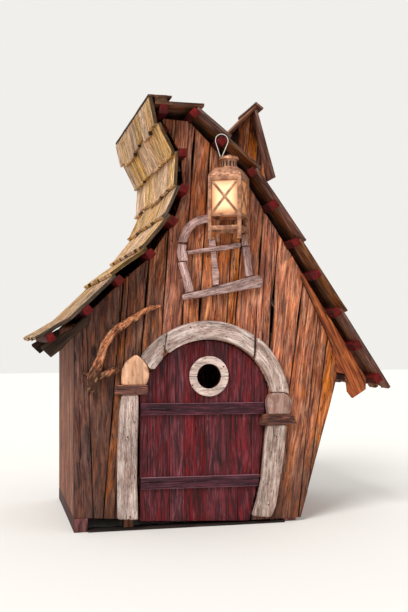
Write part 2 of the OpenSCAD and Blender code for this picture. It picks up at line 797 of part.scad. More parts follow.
// The loop stands on the left edge of the lantern's lid and goes round the end of a purlin
loop_wire = 3;
loop_out = roof_front + purlin_out / 2 - loop_wire;
loop_foot = [lamp_x - 58, lamp_top + roof_rise + neck_h + lid_h + 2 * seat];
hang_station = right_stations[2];
hang_corners = purlin_corners(hang_station[0], hang_station[1], 0);
hang = (hang_corners[0] + hang_corners[1] + hang_corners[2] + hang_corners[3]) / 4;
loop_reach = max([for (corner = hang_corners) norm(corner - hang)]) + loop_wire + 2 * seat;
loop_pull = loop_foot - hang;
loop_away = atan2(loop_pull.y, loop_pull.x);
loop_grip = acos(loop_reach / norm(loop_pull));
loop_steps = 24;

// A tapering limb swept through the points of a route, each [x, z, radius]. Its back is out before the wall
module limb(route, out, sides) {
    last = len(route) - 1;
    function run(k) = unit([for (a = [0:1]) route[min(k + 1, last)][a] - route[max(k - 1, 0)][a]]);
    points = [for (k = [0:last]) for (s = [0:sides - 1])
        let (turn = 360 * s / sides, r = route[k][2], side = [-run(k).y, run(k).x], wide = r * cos(turn))
        [route[k][0] + wide * side.x, -out - r + r * sin(turn), route[k][1] + wide * side.y]];
    walls = [for (k = [0:last - 1]) for (s = [0:sides - 1])
        let (t = (s + 1) % sides, a = k * sides, b = a + sides)
        each [[a + s, a + t, b + t], [a + s, b + t, b + s]]];
    ends = [[for (s = [0:sides - 1]) sides - 1 - s], [for (s = [0:sides - 1]) last * sides + s]];
    polyhedron(points, concat(walls, ends));
}

// The loop runs straight from the lantern to where it meets the circle round the purlin, and round it
module lantern_loop() {
    color("#e8e4da") limb(concat(
        [for (z = [0, 1]) [loop_foot.x + 2 * loop_wire, loop_foot.y + z * loop_wire, loop_wire]],
        [for (k = [0:loop_steps])
            let (turn = loop_away + loop_grip + (360 - 2 * loop_grip) * k / loop_steps)
            [hang.x + loop_reach * cos(turn), hang.y + loop_reach * sin(turn), loop_wire]],
        [for (z = [1, 0]) [loop_foot.x - 2 * loop_wire, loop_foot.y + z * loop_wire, loop_wire]]),
        loop_out, 8);
}

// Gnarled branch nailed on the left wall boards, with a thick stub to the right and a thin one to the left
branch_route = [[-250, 1794, 15], [-331, 1773, 21], [-402, 1732, 26], [-520, 1661, 30], [-602, 1603, 35],
                [-660, 1558, 36], [-712, 1475, 33], [-743, 1372, 36], [-770, 1291, 45], [-797, 1222, 50],
                [-810, 1153, 41], [-818, 1108, 27]];
branch_stubs = [[[-775, 1226, 34], [-695, 1250, 31], [-640, 1270, 28], [-592, 1286, 22]],
                [[-795, 1236, 24], [-850, 1252, 14], [-893, 1268, 7]]];
branch_sides = 12;

module branch() {
    color("#7a6248") {
        limb(branch_route, seat, branch_sides);
        for (stub = branch_stubs) limb(stub, seat, branch_sides);
    }
}

// Turret on the right slope: a narrow gabled box whose foot follows the roof boards under it
turret_back = turret_y + turret_depth;
turret_left_pitch = 46;
turret_right_pitch = 73.8;
turret_left_run = 330;
turret_right_run = 655;
turret_left_w = 120;
turret_right_w = 138;
turret_over = 150;
turret_over_back = 46;
peak = [turret_x, turret_z];
left_fall = [-cos(turret_left_pitch), -sin(turret_left_pitch)];
right_fall = [cos(turret_right_pitch), -sin(turret_right_pitch)];
left_lift = [left_fall.y, -left_fall.x];
right_lift = [-right_fall.y, right_fall.x];
right_start = (turret_t * (1 - right_lift * left_lift) + 2 * seat) / -(right_fall * left_lift);

// The point that lies a depth under both of the turret's slopes
function under_peak(depth) = peak - depth / (left_lift.x * right_lift.y - left_lift.y * right_lift.x)
    * [right_lift.y - left_lift.y, left_lift.x - right_lift.x];

// The right slope's boards and all that lies under them, also in the wedges under the laps
module roof_solid() {
    under_roof(0);
    for (i = [left_count:course_count - 1]) course_slab(i, -2 * seat, 2 * seat);
    for (i = [left_count:course_count - 2])
        polygon([upper_end(i), lower_end(i), lap_end(i) - board_t / 2 * face_of(i + 1, slab_down(i + 1)),
                 lap_end(i) + 2 * seat * lap_down(i)]);
}

module turret_outline(inset) {
    top = under_peak(turret_t + seat + inset);
    left = turret_x - turret_left_w + inset;
    right = turret_x + turret_right_w - inset;
    polygon([top, [left, top.y - (top.x - left) * tan(turret_left_pitch)], [left, 2000],
             [right, 2000], [right, top.y - (right - top.x) * tan(turret_right_pitch)]]);
}

module turret_walls() {
    color("#b5683a") {
        along_y(turret_y, turret_y + turret_t) difference() {
            turret_outline(0);
            roof_solid();
        }
        along_y(turret_back - turret_t, turret_back) difference() {
            turret_outline(0);
            roof_solid();
        }
        along_y(turret_y + turret_t, turret_back - turret_t) difference() {
            turret_outline(0);
            turret_outline(turret_t);
            roof_solid();
        }
    }
}

module turret_slab(fall, lift, run, start) {
    color("#9a8a70") along_y(turret_y - turret_over, turret_back + turret_over_back) difference() {
        polygon([peak + start * fall, peak + run * fall, peak + run * fall - turret_t * lift,
                 peak + start * fall - turret_t * lift]);
        roof_solid();
    }
}

module turret_roof_left() turret_slab(left_fall, left_lift, turret_left_run, 2);
module turret_roof_right() turret_slab(right_fall, right_lift, turret_right_run, right_start);

module turret_cap() {
    color("#6a5040") along_y(turret_y - turret_over - 14, turret_back + turret_over_back + 14)
        polygon([peak + [-10, 4], peak + [60, -40], peak + [66, -24], peak + [-4, 26]]);
}

threshold();
ground_sills();
corner_posts();
door_posts();
front_wall_left();
front_wall_gable();
front_wall_jamb();
front_wall_right();
back_wall();
left_wall();
right_wall();
eave_brackets();
rake_plank();
purlins_left();
purlins_right();
roof_left_eave();
roof_left_swoop();
roof_left_neck();
roof_left_flare();
roof_left_top();
crown_cap();
roof_right_crown();
roof_right_upper();
roof_right_middle();
roof_right_eave();
door_leaf();
door_ledge_lower();
door_ledge_upper();
porthole_ring();
hinge_straps();
hinge_pins();
arch_post_left();
arch_bar_left();
arch_teardrop();
arch_piece_left();
arch_crown();
arch_piece_right();
arch_knob_right();
arch_bar_right();
arch_post_right();
window_arch();
window_posts();
window_bars();
window_sill();
lantern_frame();
lantern_glass();
lantern_roof();
lantern_loop();
branch();
turret_walls();
turret_roof_left();
turret_roof_right();
turret_cap();
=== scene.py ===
"""Crooked market hut: its boards, shakes, driftwood and lantern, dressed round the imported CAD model.

Everything is in metres, in the frame of the model: the front faces -Y, +Z is up, and the origin lies on the
ground under the middle of the front wall.
"""
import sys

import logging
import math
from dataclasses import dataclass, field
from enum import Enum
from functools import partial
from random import Random
from typing import Any, Callable, Sequence

import bmesh
import bpy
from mathutils import Matrix, Vector, noise
from mathutils.bvhtree import BVHTree


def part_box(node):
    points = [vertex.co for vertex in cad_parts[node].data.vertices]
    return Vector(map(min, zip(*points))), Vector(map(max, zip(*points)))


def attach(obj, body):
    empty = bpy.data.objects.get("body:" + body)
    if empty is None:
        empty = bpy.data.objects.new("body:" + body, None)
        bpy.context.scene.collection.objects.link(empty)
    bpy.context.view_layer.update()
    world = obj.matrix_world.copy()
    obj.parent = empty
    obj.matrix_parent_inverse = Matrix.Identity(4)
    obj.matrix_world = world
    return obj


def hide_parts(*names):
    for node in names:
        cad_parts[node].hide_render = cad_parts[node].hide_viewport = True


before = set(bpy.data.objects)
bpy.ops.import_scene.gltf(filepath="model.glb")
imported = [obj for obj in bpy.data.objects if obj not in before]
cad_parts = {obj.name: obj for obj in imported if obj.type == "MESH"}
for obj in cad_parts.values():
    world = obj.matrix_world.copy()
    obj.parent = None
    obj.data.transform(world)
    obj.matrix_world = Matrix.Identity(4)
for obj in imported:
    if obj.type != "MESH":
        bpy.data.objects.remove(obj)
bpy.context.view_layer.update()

LOG = logging.getLogger("market_hut")
MM = 0.001
X_AXIS, Y_AXIS, Z_AXIS = Vector((1, 0, 0)), Vector((0, 1, 0)), Vector((0, 0, 1))
# Short names: shader trees and their sockets, a mesh under work, a finished piece and an assembly's, and
# the shades and warmths of a piece's boards
Tree, Socket, Mesh, Piece = bpy.types.NodeTree, bpy.types.NodeSocket, bmesh.types.BMesh, bpy.types.Object
Pieces = list[Piece]
Tones = Sequence[tuple[float, float]]
# Points nearer than this are one point
WELD = 0.05 * MM
# Faces that turn less than FLAT are one face, edges that turn more than SHARP are rounded, and rounded
# surfaces that turn more than CREASE keep an edge in their shading
FLAT, SHARP, CREASE = math.radians(0.6), math.radians(24), math.radians(40)
# How far to each side of a gaping seam the boards' edges stand back
GAPE_WIDTH = 22 * MM
# A split keeps this far from a board's sides, closes over this length at both ends, and takes from the
# first to the second share of the board's length
SPLIT_MARGIN, SPLIT_TAPER, SPLIT_SHARE = 20 * MM, 40 * MM, (0.2, 0.7)
# Width of one splinter at a shake's end, and how far up the shake they reach
SPLINTER_WIDTH, SPLINTER_REACH = 14 * MM, 90 * MM


class Body(Enum):
    """The CAD body that a piece rides on."""

    HUT = "hut"
    DOOR = "door"


class Slot(Enum):
    """The record's material slots."""

    WALL = "wall_boards"
    FRAME = "frame_timber"
    DARK = "dark_timber"
    PLANK = "fresh_plank"
    PURLIN = "purlin_timber"
    LEFT_SHAKES = "left_shakes"
    RIGHT_SHAKES = "right_shakes"
    DOOR = "door_boards"
    RING = "ring_wood"
    DRIFTWOOD = "driftwood"
    TAN = "driftwood_tan"
    MAUVE = "driftwood_mauve"
    BRANCH = "branch_wood"
    IRON = "iron"
    COPPER = "copper_sheet"
    GLASS = "lamp_glass"
    CORD = "loop_cord"


# Finishes

def linear(hex_colour: str) -> tuple[float, float, float, float]:
    """Turns an sRGB hex colour into linear RGBA.

    Args:
        hex_colour: The colour as #rrggbb.

    Returns:
        The four linear channels.
    """
    channels = [int(hex_colour[start:start + 2], 16) / 255 for start in (1, 3, 5)]
    red, green, blue = (c / 12.92 if c <= 0.04045 else ((c + 0.055) / 1.055) ** 2.4 for c in channels)
    return red, green, blue, 1.0


def add_node(tree: Tree, kind: str, settings: dict[str, Any] | None = None,
             sockets: dict[str | int, Any] | None = None) -> bpy.types.Node:
    """Adds a shader node with its settings and links.

    Args:
        tree: The node tree of a material or the world.
        kind: Blender's name for the node, without ShaderNode.
        settings: The node's own properties.
        sockets: Its inputs by name or number, each a socket to link or a value.

    Returns:
        The new node.
    """
    node = tree.nodes.new("ShaderNode" + kind)
    for name, value in (settings or {}).items():
        setattr(node, name, value)
    for name, value in (sockets or {}).items():
        if isinstance(value, Socket):
            tree.links.new(value, node.inputs[name])
        else:
            node.inputs[name].default_value = value
    return node


@dataclass(frozen=True)
class Finish:
    """A named surface, made once and shared by every piece that has it."""

    name: str
    slot: Slot

    def material(self) -> bpy.types.Material:
        """Makes the material the first time that it is asked for.

        Returns:
            The painted material.
        """
        made = bpy.data.materials.get(self.name)
        if made is None:
            made = bpy.data.materials.new(self.name)
            made.use_nodes = True
            made.node_tree.nodes.clear()
            shader = self.paint(made.node_tree)
            add_node(made.node_tree, "OutputMaterial", sockets={"Surface": shader})
        return made

    def paint(self, tree: Tree) -> Socket:
        """Adds the surface's nodes to a tree and returns the shader's socket."""
        raise NotImplementedError


@dataclass(frozen=True)
class Patch:
    """A second colour that lies over timber in flecks, streaks or broad patches.

    A patch is about across_mm by along_mm. All of them cover about share of the wood, and they spread by
    grime_and_shade where the timber is dirty and where painted shade darkens it.
    """

    colour: str
    across_mm: float
    along_mm: float
    share: float
    strength: float = 1.0
    softness: float = 0.08
    grime_and_shade: float = 0.0


def covering_level(share: float) -> float:
    """Returns the noise level that leaves about a share of the surface above it."""
    return 0.66 - 0.32 * share


@dataclass(frozen=True)
class Timber(Finish):
    """Sawn, rived or weathered wood, whose figure and fibres follow the piece's own grain.

    A piece carries three vectors at each vertex: grain is its place across, out and along, in metres; tone
    its shade, warmth, and dirt with any painted shade, from 0 to 1; and reach its distances from the
    nearest side and end.
    """

    dark: str
    middle: str
    light: str
    figure_mm: float = 34.0
    ring_turn: float = 50.0
    streak_mm: float = 18.0
    # Real fibres are finer than a millimetre; they are drawn as coarse as they need to show
    fibre_mm: float = 3.2
    figure_share: float = 0.25
    streak_share: float = 0.33
    contrast: float = 0.15
    sway_mm: tuple[float, float] = (160, 420)
    sway_reach_mm: float = 50.0
    cracks: str = "#1c110c"
    crack_mm: float = 22.0
    crack_width: float = 0.012
    crack_share: float = 0.5
    crack_depth: float = 0.7
    crack_zone_mm: tuple[float, float] = (90, 700)
    saw_marks_mm: tuple[float, float] = (60, 3.5)
    saw_depth: float = 0.12
    knot_mm: float = 0.0
    knot: str = "#2a1710"
    # Colour along a board's sides: a dark rim is painted shade at the seams; a pale rim paints worn edges,
    # and on the door's ledges a highlight
    rim: str = "#1a0f0b"
    rim_mm: float = 6.0
    rim_strength: float = 0.6
    tone_spread: float = 0.3
    mottle_mm: tuple[float, float] = (80, 260)
    mottle_value: tuple[float, float] = (0.64, 1.36)
    grime_and_shade_value: tuple[float, float] = (1.0, 0.6)
    warmth_hue: tuple[float, float] = (0.488, 0.505)
    warmth_richness: tuple[float, float] = (0.8, 1.2)
    relief_mm: float = 2.0
    roughness: tuple[float, float] = (0.72, 0.92)
    # Dry wood has open fibres and reflects less than its IOR says
    specular: float = 0.25
    patches: tuple[Patch, ...] = ()

    def streaks(self, tree: Tree, grain: Socket, size_mm: tuple[float, float], detail: float,
                distortion: float, start: float) -> Socket:
        """Adds noise that is drawn out along the fibres.

        Args:
            tree: The material's node tree.
            grain: Place in the timber as across, depth and along, in metres.
            size_mm: Width and length of one streak.
            detail: Octaves of finer streaks.
            distortion: How far the streaks bend.
            start: Shift that keeps one pattern unlike another.

        Returns:
            The noise, from 0 to 1.
        """
        narrow, long = (1 / (size * MM) for size in size_mm)
        place = add_node(tree, "VectorMath", {"operation": "MULTIPLY_ADD"},
                         {0: grain, 1: (narrow, narrow, long), 2: (start, start * 1.7, start * 0.6)})
        return add_node(tree, "TexNoise", sockets={
            "Vector": place.outputs[0], "Scale": 1.0, "Detail": detail, "Roughness": 0.6,
            "Distortion": distortion}).outputs[0]

    def figure(self, tree: Tree, grain: Socket, fibre: Socket) -> Socket:
        """Adds growth rings cut lengthwise, broken by streaks and fibres.

        Args:
            tree: The material's node tree.
            grain: Place in the timber as across, depth and along, in metres.
            fibre: The fine fibres, from 0 to 1.

        Returns:
            How light the wood is, about 0.5 on the whole.
        """
        rings = self.streaks(tree, grain, (self.figure_mm * 4, self.figure_mm * 40), 1.0, 0.2, 11.0)
        turned = add_node(tree, "Math", {"operation": "MULTIPLY"}, {0: rings, 1: self.ring_turn}).outputs[0]
        wave = add_node(tree, "Math", {"operation": "SINE"}, {0: turned}).outputs[0]
        bands = add_node(tree, "MapRange", sockets={
            "Value": wave, "From Min": -1.0, "From Max": 1.0, "To Min": 0.3, "To Max": 0.7}).outputs[0]
        streak = self.streaks(tree, grain, (self.streak_mm, self.streak_mm * 18), 3.0, 0.4, 19.0)
        total = add_node(tree, "Math", {"operation": "MULTIPLY"}, {
            0: fibre, 1: 1 - self.figure_share - self.streak_share}).outputs[0]
        for part, share in ((bands, self.figure_share), (streak, self.streak_share)):
            total = add_node(tree, "Math", {"operation": "MULTIPLY_ADD"},
                             {0: part, 1: share, 2: total}).outputs[0]
        return total

    def cracked(self, tree: Tree, grain: Socket) -> Socket:
        """Adds drying cracks, which open in some zones of the wood.

        Args:
            tree: The material's node tree.
            grain: Place in the timber as across, depth and along, in metres.

        Returns:
            Where the cracks are, from 0 to 1.
        """
        line = self.streaks(tree, grain, (self.crack_mm, self.crack_mm * 24), 2.0, 0.3, 61.0)
        zone = self.streaks(tree, grain, self.crack_zone_mm, 1.0, 0.0, 83.0)
        off_line = add_node(tree, "Math", {"operation": "SUBTRACT"}, {0: line, 1: 0.5}).outputs[0]
        off_line = add_node(tree, "Math", {"operation": "ABSOLUTE"}, {0: off_line}).outputs[0]
        open_line = add_node(tree, "MapRange", sockets={
            "Value": off_line, "From Max": self.crack_width, "To Min": 1.0, "To Max": 0.0}).outputs[0]
        edge = covering_level(self.crack_share)
        in_zone = add_node(tree, "MapRange", sockets={
            "Value": zone, "From Min": edge - 0.04, "From Max": edge + 0.04}).outputs[0]
        return add_node(tree, "Math", {"operation": "MULTIPLY"}, {0: open_line, 1: in_zone}).outputs[0]

    def patched(self, tree: Tree, grain: Socket, grime_and_shade: Socket) -> list[tuple[Socket, str]]:
        """Adds the masks of the patches, which spread where the timber is dirty and where painted shade
        darkens it.

        Args:
            tree: The material's node tree.
            grain: Place in the timber as across, depth and along, in metres.
            grime_and_shade: How dirty the timber is, with painted shade, from 0 to 1.

        Returns:
            Each patch's mask and colour.
        """
        found = []
        for number, patch in enumerate(self.patches):
            cloud = self.streaks(tree, grain, (patch.across_mm, patch.along_mm), 3.0, 0.4,
                                 41.0 + 7 * number)
            reached = add_node(tree, "Math", {"operation": "MULTIPLY_ADD"},
                               {0: grime_and_shade, 1: patch.grime_and_shade, 2: cloud}).outputs[0]
            edge = covering_level(patch.share)
            mask = add_node(tree, "MapRange", {"interpolation_type": "SMOOTHSTEP"}, {
                "Value": reached, "From Min": edge - patch.softness, "From Max": edge + patch.softness,
                "To Max": patch.strength}).outputs[0]
            found.append((mask, patch.colour))
        return found

    def rimmed(self, tree: Tree, wood: Socket, side: Socket) -> Socket:
        """Adds the rim along a board's sides, frayed by its fibres: a dark rim is painted shade at the
        seams, a pale one worn edges, and on the door's ledges a painted highlight.

        Args:
            tree: The material's node tree.
            wood: How light the wood is.
            side: Distance from the nearest side, in metres.

        Returns:
            Where the rim is, from 0 to its strength.
        """
        frayed = add_node(tree, "Math", {"operation": "MULTIPLY_ADD"},
                          {0: wood, 1: 2 * self.rim_mm * MM, 2: side}).outputs[0]
        return add_node(tree, "MapRange", {"interpolation_type": "SMOOTHSTEP"}, {
            "Value": frayed, "From Min": self.rim_mm * MM, "From Max": 2.4 * self.rim_mm * MM,
            "To Min": self.rim_strength, "To Max": 0.0}).outputs[0]

    def knotted(self, tree: Tree, grain: Socket) -> Socket:
        """Adds knots, which are longer than wide.

        Args:
            tree: The material's node tree.
            grain: Place in the timber as across, depth and along, in metres.

        Returns:
            Where the knots are, from 0 to 0.9.
        """
        cell = 1 / (self.knot_mm * MM)
        place = add_node(tree, "VectorMath", {"operation": "MULTIPLY"},
                         {0: grain, 1: (cell, cell * 0.2, cell * 0.45)}).outputs[0]
        spot = add_node(tree, "TexVoronoi", sockets={"Vector": place, "Scale": 1.0}).outputs["Distance"]
        return add_node(tree, "MapRange", {"interpolation_type": "SMOOTHSTEP"}, {
            "Value": spot, "From Min": 0.05, "From Max": 0.13, "To Min": 0.9, "To Max": 0.0}).outputs[0]

    def paint(self, tree: Tree) -> Socket:
        """Adds figure, patches, rims of painted shade, wear and painted highlight, cracks and knots, then
        each board's own tone, which on some pieces also paints light and shade.

        Args:
            tree: The material's node tree.

        Returns:
            The shader's socket.
        """
        grain, tone, reach = (add_node(tree, "Attribute", {"attribute_name": label}).outputs["Vector"]
                              for label in ("grain", "tone", "reach"))
        shade, warmth, grime_and_shade = add_node(tree, "SeparateXYZ", sockets={0: tone}).outputs
        side = add_node(tree, "SeparateXYZ", sockets={0: reach}).outputs[0]
        sway = self.streaks(tree, grain, self.sway_mm, 1.0, 0.0, 3.0)
        swayed = add_node(tree, "VectorMath", {"operation": "MULTIPLY_ADD"},
                          {0: sway, 1: (self.sway_reach_mm * MM, 0.0, 0.0), 2: grain}).outputs[0]
        fibre = self.streaks(tree, swayed, (self.fibre_mm, self.fibre_mm * 60), 4.0, 0.2, 29.0)
        wood = self.figure(tree, swayed, fibre)
        crack = self.cracked(tree, swayed)
        shades = add_node(tree, "ValToRGB", sockets={"Fac": wood})
        ramp = shades.color_ramp.elements
        ramp[0].position, ramp[0].color = 0.5 - self.contrast, linear(self.dark)
        ramp[1].position, ramp[1].color = 0.5 + self.contrast, linear(self.light)
        ramp.new(0.5).color = linear(self.middle)
        colour = shades.outputs["Color"]
        coverings = [*self.patched(tree, swayed, grime_and_shade), (self.rimmed(tree, wood, side), self.rim),
                     (crack, self.cracks)]
        if self.knot_mm:
            coverings.append((self.knotted(tree, grain), self.knot))
        for mask, covering in coverings:
            colour = add_node(tree, "Mix", {"data_type": "RGBA"},
                              {0: mask, 6: colour, 7: linear(covering)}).outputs[2]

        # Each board's shade sets the value, which on some pieces paints light and shade; dirt and painted
        # shade darken it further
        value, dirtied_and_shaded, hue, richness = (
            add_node(tree, "MapRange", sockets={"Value": cause, "To Min": low, "To Max": high}).outputs[0]
            for cause, (low, high) in ((shade, (1 - self.tone_spread, 1 + self.tone_spread)),
                                       (grime_and_shade, self.grime_and_shade_value), (warmth, self.warmth_hue),
                                       (warmth, self.warmth_richness)))
        mottle = self.streaks(tree, grain, self.mottle_mm, 5.0, 0.2, 71.0)
        mottled = add_node(tree, "MapRange", sockets={
            "Value": mottle, "From Min": 0.3, "From Max": 0.7, "To Min": self.mottle_value[0],
            "To Max": self.mottle_value[1]}).outputs[0]
        for part in (mottled, dirtied_and_shaded):
            value = add_node(tree, "Math", {"operation": "MULTIPLY"}, {0: value, 1: part}).outputs[0]
        colour = add_node(tree, "HueSaturation", sockets={
            "Hue": hue, "Saturation": richness, "Value": value, "Color": colour}).outputs[0]

        height = wood
        saw_marks = self.streaks(tree, grain, self.saw_marks_mm, 1.0, 0.0, 97.0)
        for mark, rise in ((crack, -self.crack_depth), (saw_marks, self.saw_depth)):
            height = add_node(tree, "Math", {"operation": "MULTIPLY_ADD"},
                              {0: mark, 1: rise, 2: height}).outputs[0]
        bump = add_node(tree, "Bump", sockets={
            "Strength": 1.0, "Distance": self.relief_mm * MM, "Height": height}).outputs[0]
        gloss = add_node(tree, "MapRange", sockets={
            "Value": fibre, "From Min": 0.35, "From Max": 0.65,
            "To Min": self.roughness[1], "To Max": self.roughness[0]}).outputs[0]
        return add_node(tree, "BsdfPrincipled", sockets={
            "Base Color": colour, "Roughness": gloss, "Specular IOR Level": self.specular,
            "Normal": bump}).outputs[0]


@dataclass(frozen=True)
class Metal(Finish):
    """Sheet or forged metal, whose bare colour is dulled by tarnish in clouds."""

    bare: str
    tarnish: str
    metallic: float = 0.7
    cloud_mm: float = 60.0
    dent_mm: float = 15.0
    roughness: tuple[float, float] = (0.35, 0.6)
    relief_mm: float = 0.6

    def paint(self, tree: Tree) -> Socket:
        """Adds tarnish and small dents.

        Args:
            tree: The material's node tree.

        Returns:
            The shader's socket.
        """
        place = add_node(tree, "Attribute", {"attribute_name": "grain"}).outputs["Vector"]
        cloud = add_node(tree, "TexNoise", sockets={
            "Vector": place, "Scale": 1 / (self.cloud_mm * MM), "Detail": 5.0,
            "Roughness": 0.65}).outputs[0]
        dents = add_node(tree, "TexNoise", sockets={
            "Vector": place, "Scale": 1 / (self.dent_mm * MM), "Detail": 2.0}).outputs[0]
        mask = add_node(tree, "MapRange", {"interpolation_type": "SMOOTHSTEP"}, {
            "Value": cloud, "From Min": 0.4, "From Max": 0.62}).outputs[0]
        colour = add_node(tree, "Mix", {"data_type": "RGBA"},
                          {0: mask, 6: linear(self.bare), 7: linear(self.tarnish)}).outputs[2]
        gloss = add_node(tree, "MapRange", sockets={
            "Value": mask, "To Min": self.roughness[0], "To Max": self.roughness[1]}).outputs[0]
        bump = add_node(tree, "Bump", sockets={
            "Strength": 0.6, "Distance": self.relief_mm * MM, "Height": dents}).outputs[0]
        return add_node(tree, "BsdfPrincipled", sockets={
            "Base Color": colour, "Roughness": gloss, "Metallic": self.metallic,
            "Normal": bump}).outputs[0]


@dataclass(frozen=True)
class GlowPaintedGlass(Finish):
    """Frosted panes that glow by painted light, with no lamp built behind them, and darken towards each rim
    by painted shade.
    """

    pale: str
    rim_shade: str
    glow: float = 0.3
    ripple_mm: float = 45.0
    ripple_reach_mm: float = 30.0
    rim_mm: float = 8.0
    glow_mm: float = 80.0

    def paint(self, tree: Tree) -> Socket:
        """Adds the painted glow, which fades to a painted shade towards each pane's rim, and the ripple of
        old glass.

        Args:
            tree: The material's node tree.

        Returns:
            The shader's socket.
        """
        place, reach = (add_node(tree, "Attribute", {"attribute_name": label}).outputs["Vector"]
                        for label in ("grain", "reach"))
        ripple = add_node(tree, "TexNoise", sockets={
            "Vector": place, "Scale": 1 / (self.ripple_mm * MM), "Detail": 2.0}).outputs[0]
        side, end, _ = add_node(tree, "SeparateXYZ", sockets={0: reach}).outputs
        nearest = add_node(tree, "Math", {"operation": "MINIMUM"}, {0: side, 1: end}).outputs[0]
        inward = add_node(tree, "Math", {"operation": "MULTIPLY_ADD"},
                          {0: ripple, 1: self.ripple_reach_mm * MM, 2: nearest}).outputs[0]
        # The glow is painted light; where it fades to the rim colour at the pane's rim it is painted shade
        lit = add_node(tree, "MapRange", {"interpolation_type": "SMOOTHSTEP"}, {
            "Value": inward, "From Min": self.rim_mm * MM, "From Max": self.glow_mm * MM}).outputs[0]
        colour = add_node(tree, "Mix", {"data_type": "RGBA"},
                          {0: lit, 6: linear(self.rim_shade), 7: linear(self.pale)}).outputs[2]
        bump = add_node(tree, "Bump", sockets={
            "Strength": 0.4, "Distance": 0.8 * MM, "Height": ripple}).outputs[0]
        return add_node(tree, "BsdfPrincipled", sockets={
            "Base Color": colour, "Roughness": 0.3, "Emission Color": colour,
            "Emission Strength": self.glow, "Normal": bump}).outputs[0]


@dataclass(frozen=True)
class TwistedCord(Finish):
    """Cotton cord of laid strands, bleached by the weather."""

    pale: str
    shade: str
    lay_mm: float = 6.0

    def paint(self, tree: Tree) -> Socket:
        """Adds the slanting strands.

        Args:
            tree: The material's node tree.

        Returns:
            The shader's socket.
        """
        place = add_node(tree, "Attribute", {"attribute_name": "grain"}).outputs["Vector"]
        slant = add_node(tree, "VectorMath", {"operation": "DOT_PRODUCT"}, {
            0: place, 1: (1 / (2 * self.lay_mm * MM), 0.0, 1 / (self.lay_mm * MM))}).outputs["Value"]
        strand = add_node(tree, "Math", {"operation": "PINGPONG"}, {0: slant, 1: 0.5}).outputs[0]
        level = add_node(tree, "MapRange", sockets={"Value": strand, "From Max": 0.5}).outputs[0]
        # The colour darkens from pale to shade into the grooves between the strands: painted shade
        colour = add_node(tree, "Mix", {"data_type": "RGBA"},
                          {0: level, 6: linear(self.shade), 7: linear(self.pale)}).outputs[2]
        bump = add_node(tree, "Bump", sockets={"Distance": 0.8 * MM, "Height": level}).outputs[0]
        return add_node(tree, "BsdfPrincipled", sockets={
            "Base Color": colour, "Roughness": 0.9, "Normal": bump}).outputs[0]


# Larch slabs sawn long ago: red-brown with dark fibres, black drying cracks and grey, wet patches low down;
# the near-black rim along each board's sides is painted shade at the seams, and the grey patches also
# spread under the left eave as painted shade
WALL_BOARDS = Timber(
    "weathered_larch_boards", Slot.WALL, "#3a1c13", "#965841", "#cf9471", figure_mm=30, streak_mm=26,
    figure_share=0.24, streak_share=0.24, contrast=0.14, crack_share=0.6, knot_mm=240, rim="#170d09",
    rim_mm=5, rim_strength=0.85, tone_spread=0.46, relief_mm=1.7,
    patches=(Patch("#34180f", 34, 460, 0.32, 0.6), Patch("#60463e", 60, 300, 0.22, 0.6, grime_and_shade=0.22),
             Patch("#b86a3c", 60, 300, 0.26, 0.5), Patch("#d0a084", 30, 200, 0.16, 0.35, 0.14),
             Patch("#1c0f0a", 4, 90, 0.24, 0.8, 0.05)))
# Sound inner timber, hardly weathered
FRAME_TIMBER = Timber("rough_spruce_frame", Slot.FRAME, "#3c2317", "#6e432c", "#98684a", relief_mm=1.6)
# Oak, nearly black: painted shade on the threshold under the door, the eave brackets under the left eave
# and the blocks between the purlins under the roof
SHADE_DARK_TIMBER = Timber("oak_beam_painted_shade", Slot.DARK, "#1c120d", "#35251b", "#54402f", relief_mm=2)
# Larch sawn not long ago: deep orange, already streaked
FRESH_PLANK = Timber("fresh_larch_plank", Slot.PLANK, "#4a1e0e", "#8a4220", "#bd6c36", crack_share=0.3,
                     tone_spread=0.12, relief_mm=1.2,
                     patches=(Patch("#3a170c", 30, 320, 0.34, 0.75), Patch("#c87c40", 20, 240, 0.26, 0.6)))
# Spruce under a worn dark red stain; the darker rim along its edges is painted shade
PURLINS = Timber("red_stained_purlin", Slot.PURLIN, "#2a0608", "#5c1014", "#7a1e1e", crack_share=0.3,
                 rim="#2a0c0c", rim_mm=4, relief_mm=1.4, patches=(Patch("#3a1a14", 25, 200, 0.35, 0.7),))
# The same stain on the sill, sunk and chipped
STAINED_SILL = Timber("stained_sill", Slot.FRAME, "#3a1a14", "#7c3c2e", "#a8644c", relief_mm=2,
                      patches=(Patch("#301c16", 30, 160, 0.4, 0.7),))
# Rived shakes: straw and tan, split into deep dark grooves, spotted with olive lichen; the dark rim between
# the boards is painted shade
LEFT_SHAKES = Timber(
    "lichened_larch_shakes", Slot.LEFT_SHAKES, "#5a3c20", "#cba273", "#f8dfb2", figure_mm=20,
    streak_mm=16, fibre_mm=3.5, figure_share=0.15, streak_share=0.3, contrast=0.16, cracks="#2e2013",
    crack_mm=14, crack_width=0.02, crack_share=0.7, rim="#2a1c10", rim_mm=5, rim_strength=0.9,
    tone_spread=0.36, relief_mm=2.6,
    patches=(Patch("#9a8440", 26, 70, 0.34, 0.6), Patch("#b0906c", 40, 220, 0.3, 0.5),
             Patch("#3a2816", 9, 110, 0.36, 0.85), Patch("#c07a3c", 26, 140, 0.24, 0.5)))
# Sawn shakes on the shaded slope: red-brown with grey wear
RIGHT_SHAKES = Timber(
    "shaded_larch_shakes", Slot.RIGHT_SHAKES, "#3c2216", "#8e573e", "#c09072", figure_mm=24,
    crack_share=0.6, relief_mm=2.4,
    patches=(Patch("#8d7c70", 40, 240, 0.32, 0.55), Patch("#22140f", 20, 220, 0.35, 0.7)))
# The crown board: nearly black brown
CROWN_BOARD = Timber("dark_crown_board", Slot.RIGHT_SHAKES, "#1c120d", "#452e22", "#6c4e3c", relief_mm=2)
